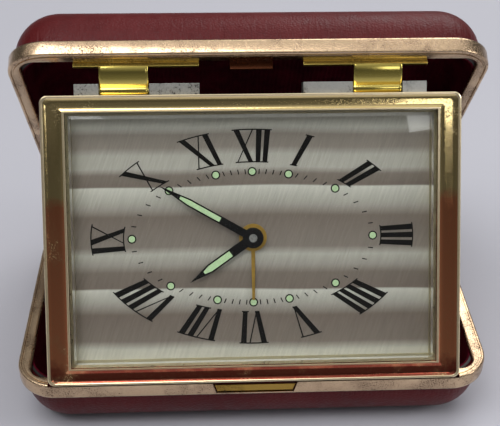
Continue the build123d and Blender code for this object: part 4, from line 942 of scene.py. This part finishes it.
class ClockBezel(bpy.types.Operator):
    """Polished bezel with its concave face, and the acrylic crystal."""

    bl_idname = "travel_clock.bezel"
    bl_label = "Bezel and crystal"

    def execute(self, context):
        head = in_mm(context.scene.travel_clock_head)
        face = axes_matrix(face_centre(head), Vector((1, 0, 0)), FACE_OUT)
        sharp = 0.05
        opening_x = head.width - 2 * head.side_frame
        opening_y = head.height - 2 * head.end_frame
        outer = outline(head.width, head.height, head.corner)
        inner = outline(opening_x, opening_y, sharp)
        seat = outline(opening_x + 2 * head.flange, opening_y + 2 * head.flange, sharp)
        rings = []
        for share, behind, drawn in bezel_profile(head):
            ring = []
            for (ax, ay), (bx, by) in zip(outer, inner):
                t = share + drawn / math.hypot(bx - ax, by - ay)
                place = Vector(((ax + (bx - ax) * t) * MM, (ay + (by - ay) * t) * MM, -behind * MM))
                ring.append(face @ place)
            rings.append(ring)
        for behind in (head.seat, head.thickness):
            rings.append([face @ Vector((x * MM, y * MM, -behind * MM)) for x, y in seat])
        vertices, faces = loft(rings)
        bezel = mesh_piece(
            "polished_bezel", vertices, faces, "polish", "clock", node="bezel"
        )
        sharpen(bezel, 28)
        # Second slot: the pale gold of the painted highlight on the edge strips
        bezel.data.materials.append(finish("edge"))
        for polygon in bezel.data.polygons:
            if polygon.index // len(outer) in PAINTED_HIGHLIGHT_STRIPS:
                polygon.material_index = 1
        paint("acrylic", "crystal")
        return {"FINISHED"}


class ClockDial(bpy.types.Operator):
    """Silvered dial with its print, luminous dots and surround."""

    bl_idname = "travel_clock.dial"
    bl_label = "Dial"

    def execute(self, context):
        paint("dial", "dial")
        paint("surround", "dial_surround")
        paint("ink", "numerals", "minute_track", "dot_rings")
        paint("lume", "hour_dots")
        return {"FINISHED"}


class ClockHands(bpy.types.Operator):
    """Black luminous hands and the gold alarm hand."""

    bl_idname = "travel_clock.hands"
    bl_label = "Hands"

    def execute(self, context):
        paint("black", "hour_hand", "minute_hand", edge_mm=0.05)
        paint("lume", "hour_hand_lume", "minute_hand_lume")
        paint("alarm", "alarm_hand")
        return {"FINISHED"}


class ClockBack(bpy.types.Operator):
    """Can, back cover, screws, keys, knobs and the alarm stop."""

    bl_idname = "travel_clock.back"
    bl_label = "Can and keys"

    def execute(self, context):
        paint("can", "clock_can", "back_cover", edge_mm=0.2)
        paint("steel", "cover_screws", "alarm_stop_button", edge_mm=0.1)
        paint("knob", "time_set_knob", "alarm_set_knob", "time_winding_key", "alarm_winding_key")
        return {"FINISHED"}


class ClockMovement(bpy.types.Operator):
    """Brass plates and wheels, steel levers and blued springs inside the can."""

    bl_idname = "travel_clock.movement"
    bl_label = "Movement"

    def execute(self, context):
        paint("brass", "front_plate", "back_plate", "plate_pillars", "hairspring_stud")
        paint("brass", "time_barrel", "alarm_barrel", "hour_wheel", "alarm_wheel", "alarm_escape_wheel")
        paint("brass", "centre_wheel", "third_wheel", "fourth_wheel", "escape_wheel", "balance_wheel")
        # The centre arbor's tip shows in the hub of the hands as bright steel
        arbor_reach = 0.8
        centre_wheel = frame["nodes"]["centre_wheel"]
        centre_wheel.data.materials.append(finish("steel"))
        axis_point = face_centre(in_mm(context.scene.travel_clock_head))
        for polygon in centre_wheel.data.polygons:
            arm = centre_wheel.matrix_world @ polygon.center - axis_point
            if (arm - FACE_OUT * arm.dot(FACE_OUT)).length < arbor_reach * MM:
                polygon.material_index = 1
        paint("steel", "pallet_lever", "alarm_hammer", "time_click", "alarm_click", "cannon_pinion")
        paint("blued", "hairspring", "time_mainspring", "alarm_mainspring")
        return {"FINISHED"}


def studio_floor(tone):
    """Flat floor that reaches far past the picture's edges."""
    reach = 3.0
    corners = [(-reach, -reach, 0), (reach, -reach, 0), (reach, reach, 0), (-reach, reach, 0)]
    mesh = bpy.data.meshes.new("studio_floor")
    mesh.from_pydata(corners, [], [(0, 1, 2, 3)])
    mesh.materials.append(floor_material(tone))
    floor = bpy.data.objects.new("studio_floor", mesh)
    bpy.context.collection.objects.link(floor)


def studio_lamps(power):
    """Soft square lamps above, behind and beside the clock, and a small one for the highlights."""
    # Name, place and side in metres, and power as a share of the main lamp's; all aim at the clock
    lamps = (
        ("main lamp", (-0.25, -0.25, 0.75), 0.5, 1.0),
        ("rear lamp", (0.35, 0.55, 0.7), 0.6, 1.1),
        ("right lamp", (0.8, -0.2, 0.45), 0.35, 0.6),
        ("highlight lamp", (0.2, -0.522, 0.386), 0.11, 0.03),
    )
    clock_middle = Vector((0, 0, 0.04))
    for name, at, size, share in lamps:
        data = bpy.data.lights.new(name, "AREA")
        data.energy = power * share
        data.shape = "SQUARE"
        data.size = size
        lamp = bpy.data.objects.new(name, data)
        lamp.location = at
        aim = clock_middle - Vector(at)
        lamp.rotation_mode = "QUATERNION"
        lamp.rotation_quaternion = aim.to_track_quat("-Z", "Y")
        bpy.context.collection.objects.link(lamp)


def studio_world():
    """Room that is dim at the horizon, so that polished metal mirrors something dark, and bright overhead."""
    world = bpy.data.worlds.new("studio")
    world.use_nodes = True
    world.node_tree.nodes.clear()
    add = partial(add_node, world.node_tree)
    place = (add("TexCoord"), "Generated")
    split = add("SeparateXYZ", {"Vector": place})
    stops = [(0.0, grey(0.2)), (0.42, grey(0.07)), (0.62, grey(0.3)), (0.9, grey(0.85))]
    tone = add("ValToRGB", {"Fac": (split, "Z")}, stops=stops)
    sky = add("Background", {"Color": (tone, "Color"), "Strength": 0.9})
    add("OutputWorld", {"Surface": (sky, 0)})
    bpy.context.scene.world = world


def photo_camera(stage):
    """Camera at the photograph's viewing angle."""
    data = bpy.data.cameras.new("photo camera")
    data.sensor_width = 36.0
    data.lens = stage.lens
    data.shift_x = stage.shift_x
    data.shift_y = stage.shift_y
    data.clip_start = 0.01
    data.clip_end = 20.0
    turn = Matrix.Rotation(stage.camera_turn, 3, "Z")
    tilt = Matrix.Rotation(-stage.camera_down, 3, "X")
    forward = turn @ tilt @ Vector((0, 1, 0))
    right = turn @ Vector((1, 0, 0))
    up = right.cross(forward)
    c, s = math.cos(stage.camera_roll), math.sin(stage.camera_roll)
    rolled_right = right * c + up * s
    rolled_up = up * c - right * s
    camera = bpy.data.objects.new("photo camera", data)
    camera.rotation_mode = "QUATERNION"
    camera.rotation_quaternion = Matrix((rolled_right, rolled_up, -forward)).transposed().to_quaternion()
    camera.location = stage.camera_at
    bpy.context.collection.objects.link(camera)
    bpy.context.scene.camera = camera


class ClockStudio(bpy.types.Operator):
    """Pale floor, soft lamps and the camera."""

    bl_idname = "travel_clock.studio"
    bl_label = "Studio"

    def execute(self, context):
        stage = context.scene.travel_clock_stage
        studio_floor(linear(stage.floor))
        studio_lamps(stage.lamp_power)
        studio_world()
        photo_camera(stage)
        context.scene.view_settings.view_transform = "Standard"
        return {"FINISHED"}


class ClockPanel(bpy.types.Panel):
    """Buttons and sizes of the travel clock."""

    bl_idname = "VIEW3D_PT_travel_clock"
    bl_label = "Travel clock"
    bl_space_type = "VIEW_3D"
    bl_region_type = "UI"
    bl_category = "Travel clock"

    def draw(self, context):
        layout = self.layout
        for operator in OPERATORS:
            layout.operator(operator.bl_idname)
        for group in GROUPS:
            settings = getattr(context.scene, group)
            box = layout.box()
            for key in settings.__annotations__:
                box.prop(settings, key)


OPERATORS = (
    ClockLeather,
    ClockLining,
    ClockRims,
    ClockStraps,
    ClockBezel,
    ClockDial,
    ClockHands,
    ClockBack,
    ClockMovement,
    ClockStudio,
)
GROUPS = {
    "travel_clock_case": ClockCaseSizes,
    "travel_clock_head": ClockHeadSizes,
    "travel_clock_finishes": ClockFinishes,
    "travel_clock_stage": ClockStage,
}


def register():
    """Adds the classes to Blender and the property groups to its scenes."""
    for cls in (*GROUPS.values(), *OPERATORS, ClockPanel):
        bpy.utils.register_class(cls)
    for name, group in GROUPS.items():
        setattr(bpy.types.Scene, name, PointerProperty(type=group))


def unregister():
    """Takes them away again."""
    for name in GROUPS:
        delattr(bpy.types.Scene, name)
    for cls in reversed((*GROUPS.values(), *OPERATORS, ClockPanel)):
        bpy.utils.unregister_class(cls)


def main():
    """Builds every piece in order."""
    register()
    bpy.ops.travel_clock.leather()
    bpy.ops.travel_clock.lining()
    bpy.ops.travel_clock.rims()
    bpy.ops.travel_clock.straps()
    bpy.ops.travel_clock.bezel()
    bpy.ops.travel_clock.dial()
    bpy.ops.travel_clock.hands()
    bpy.ops.travel_clock.back()
    bpy.ops.travel_clock.movement()
    bpy.ops.travel_clock.studio()


if __name__ == "__main__":
    main()
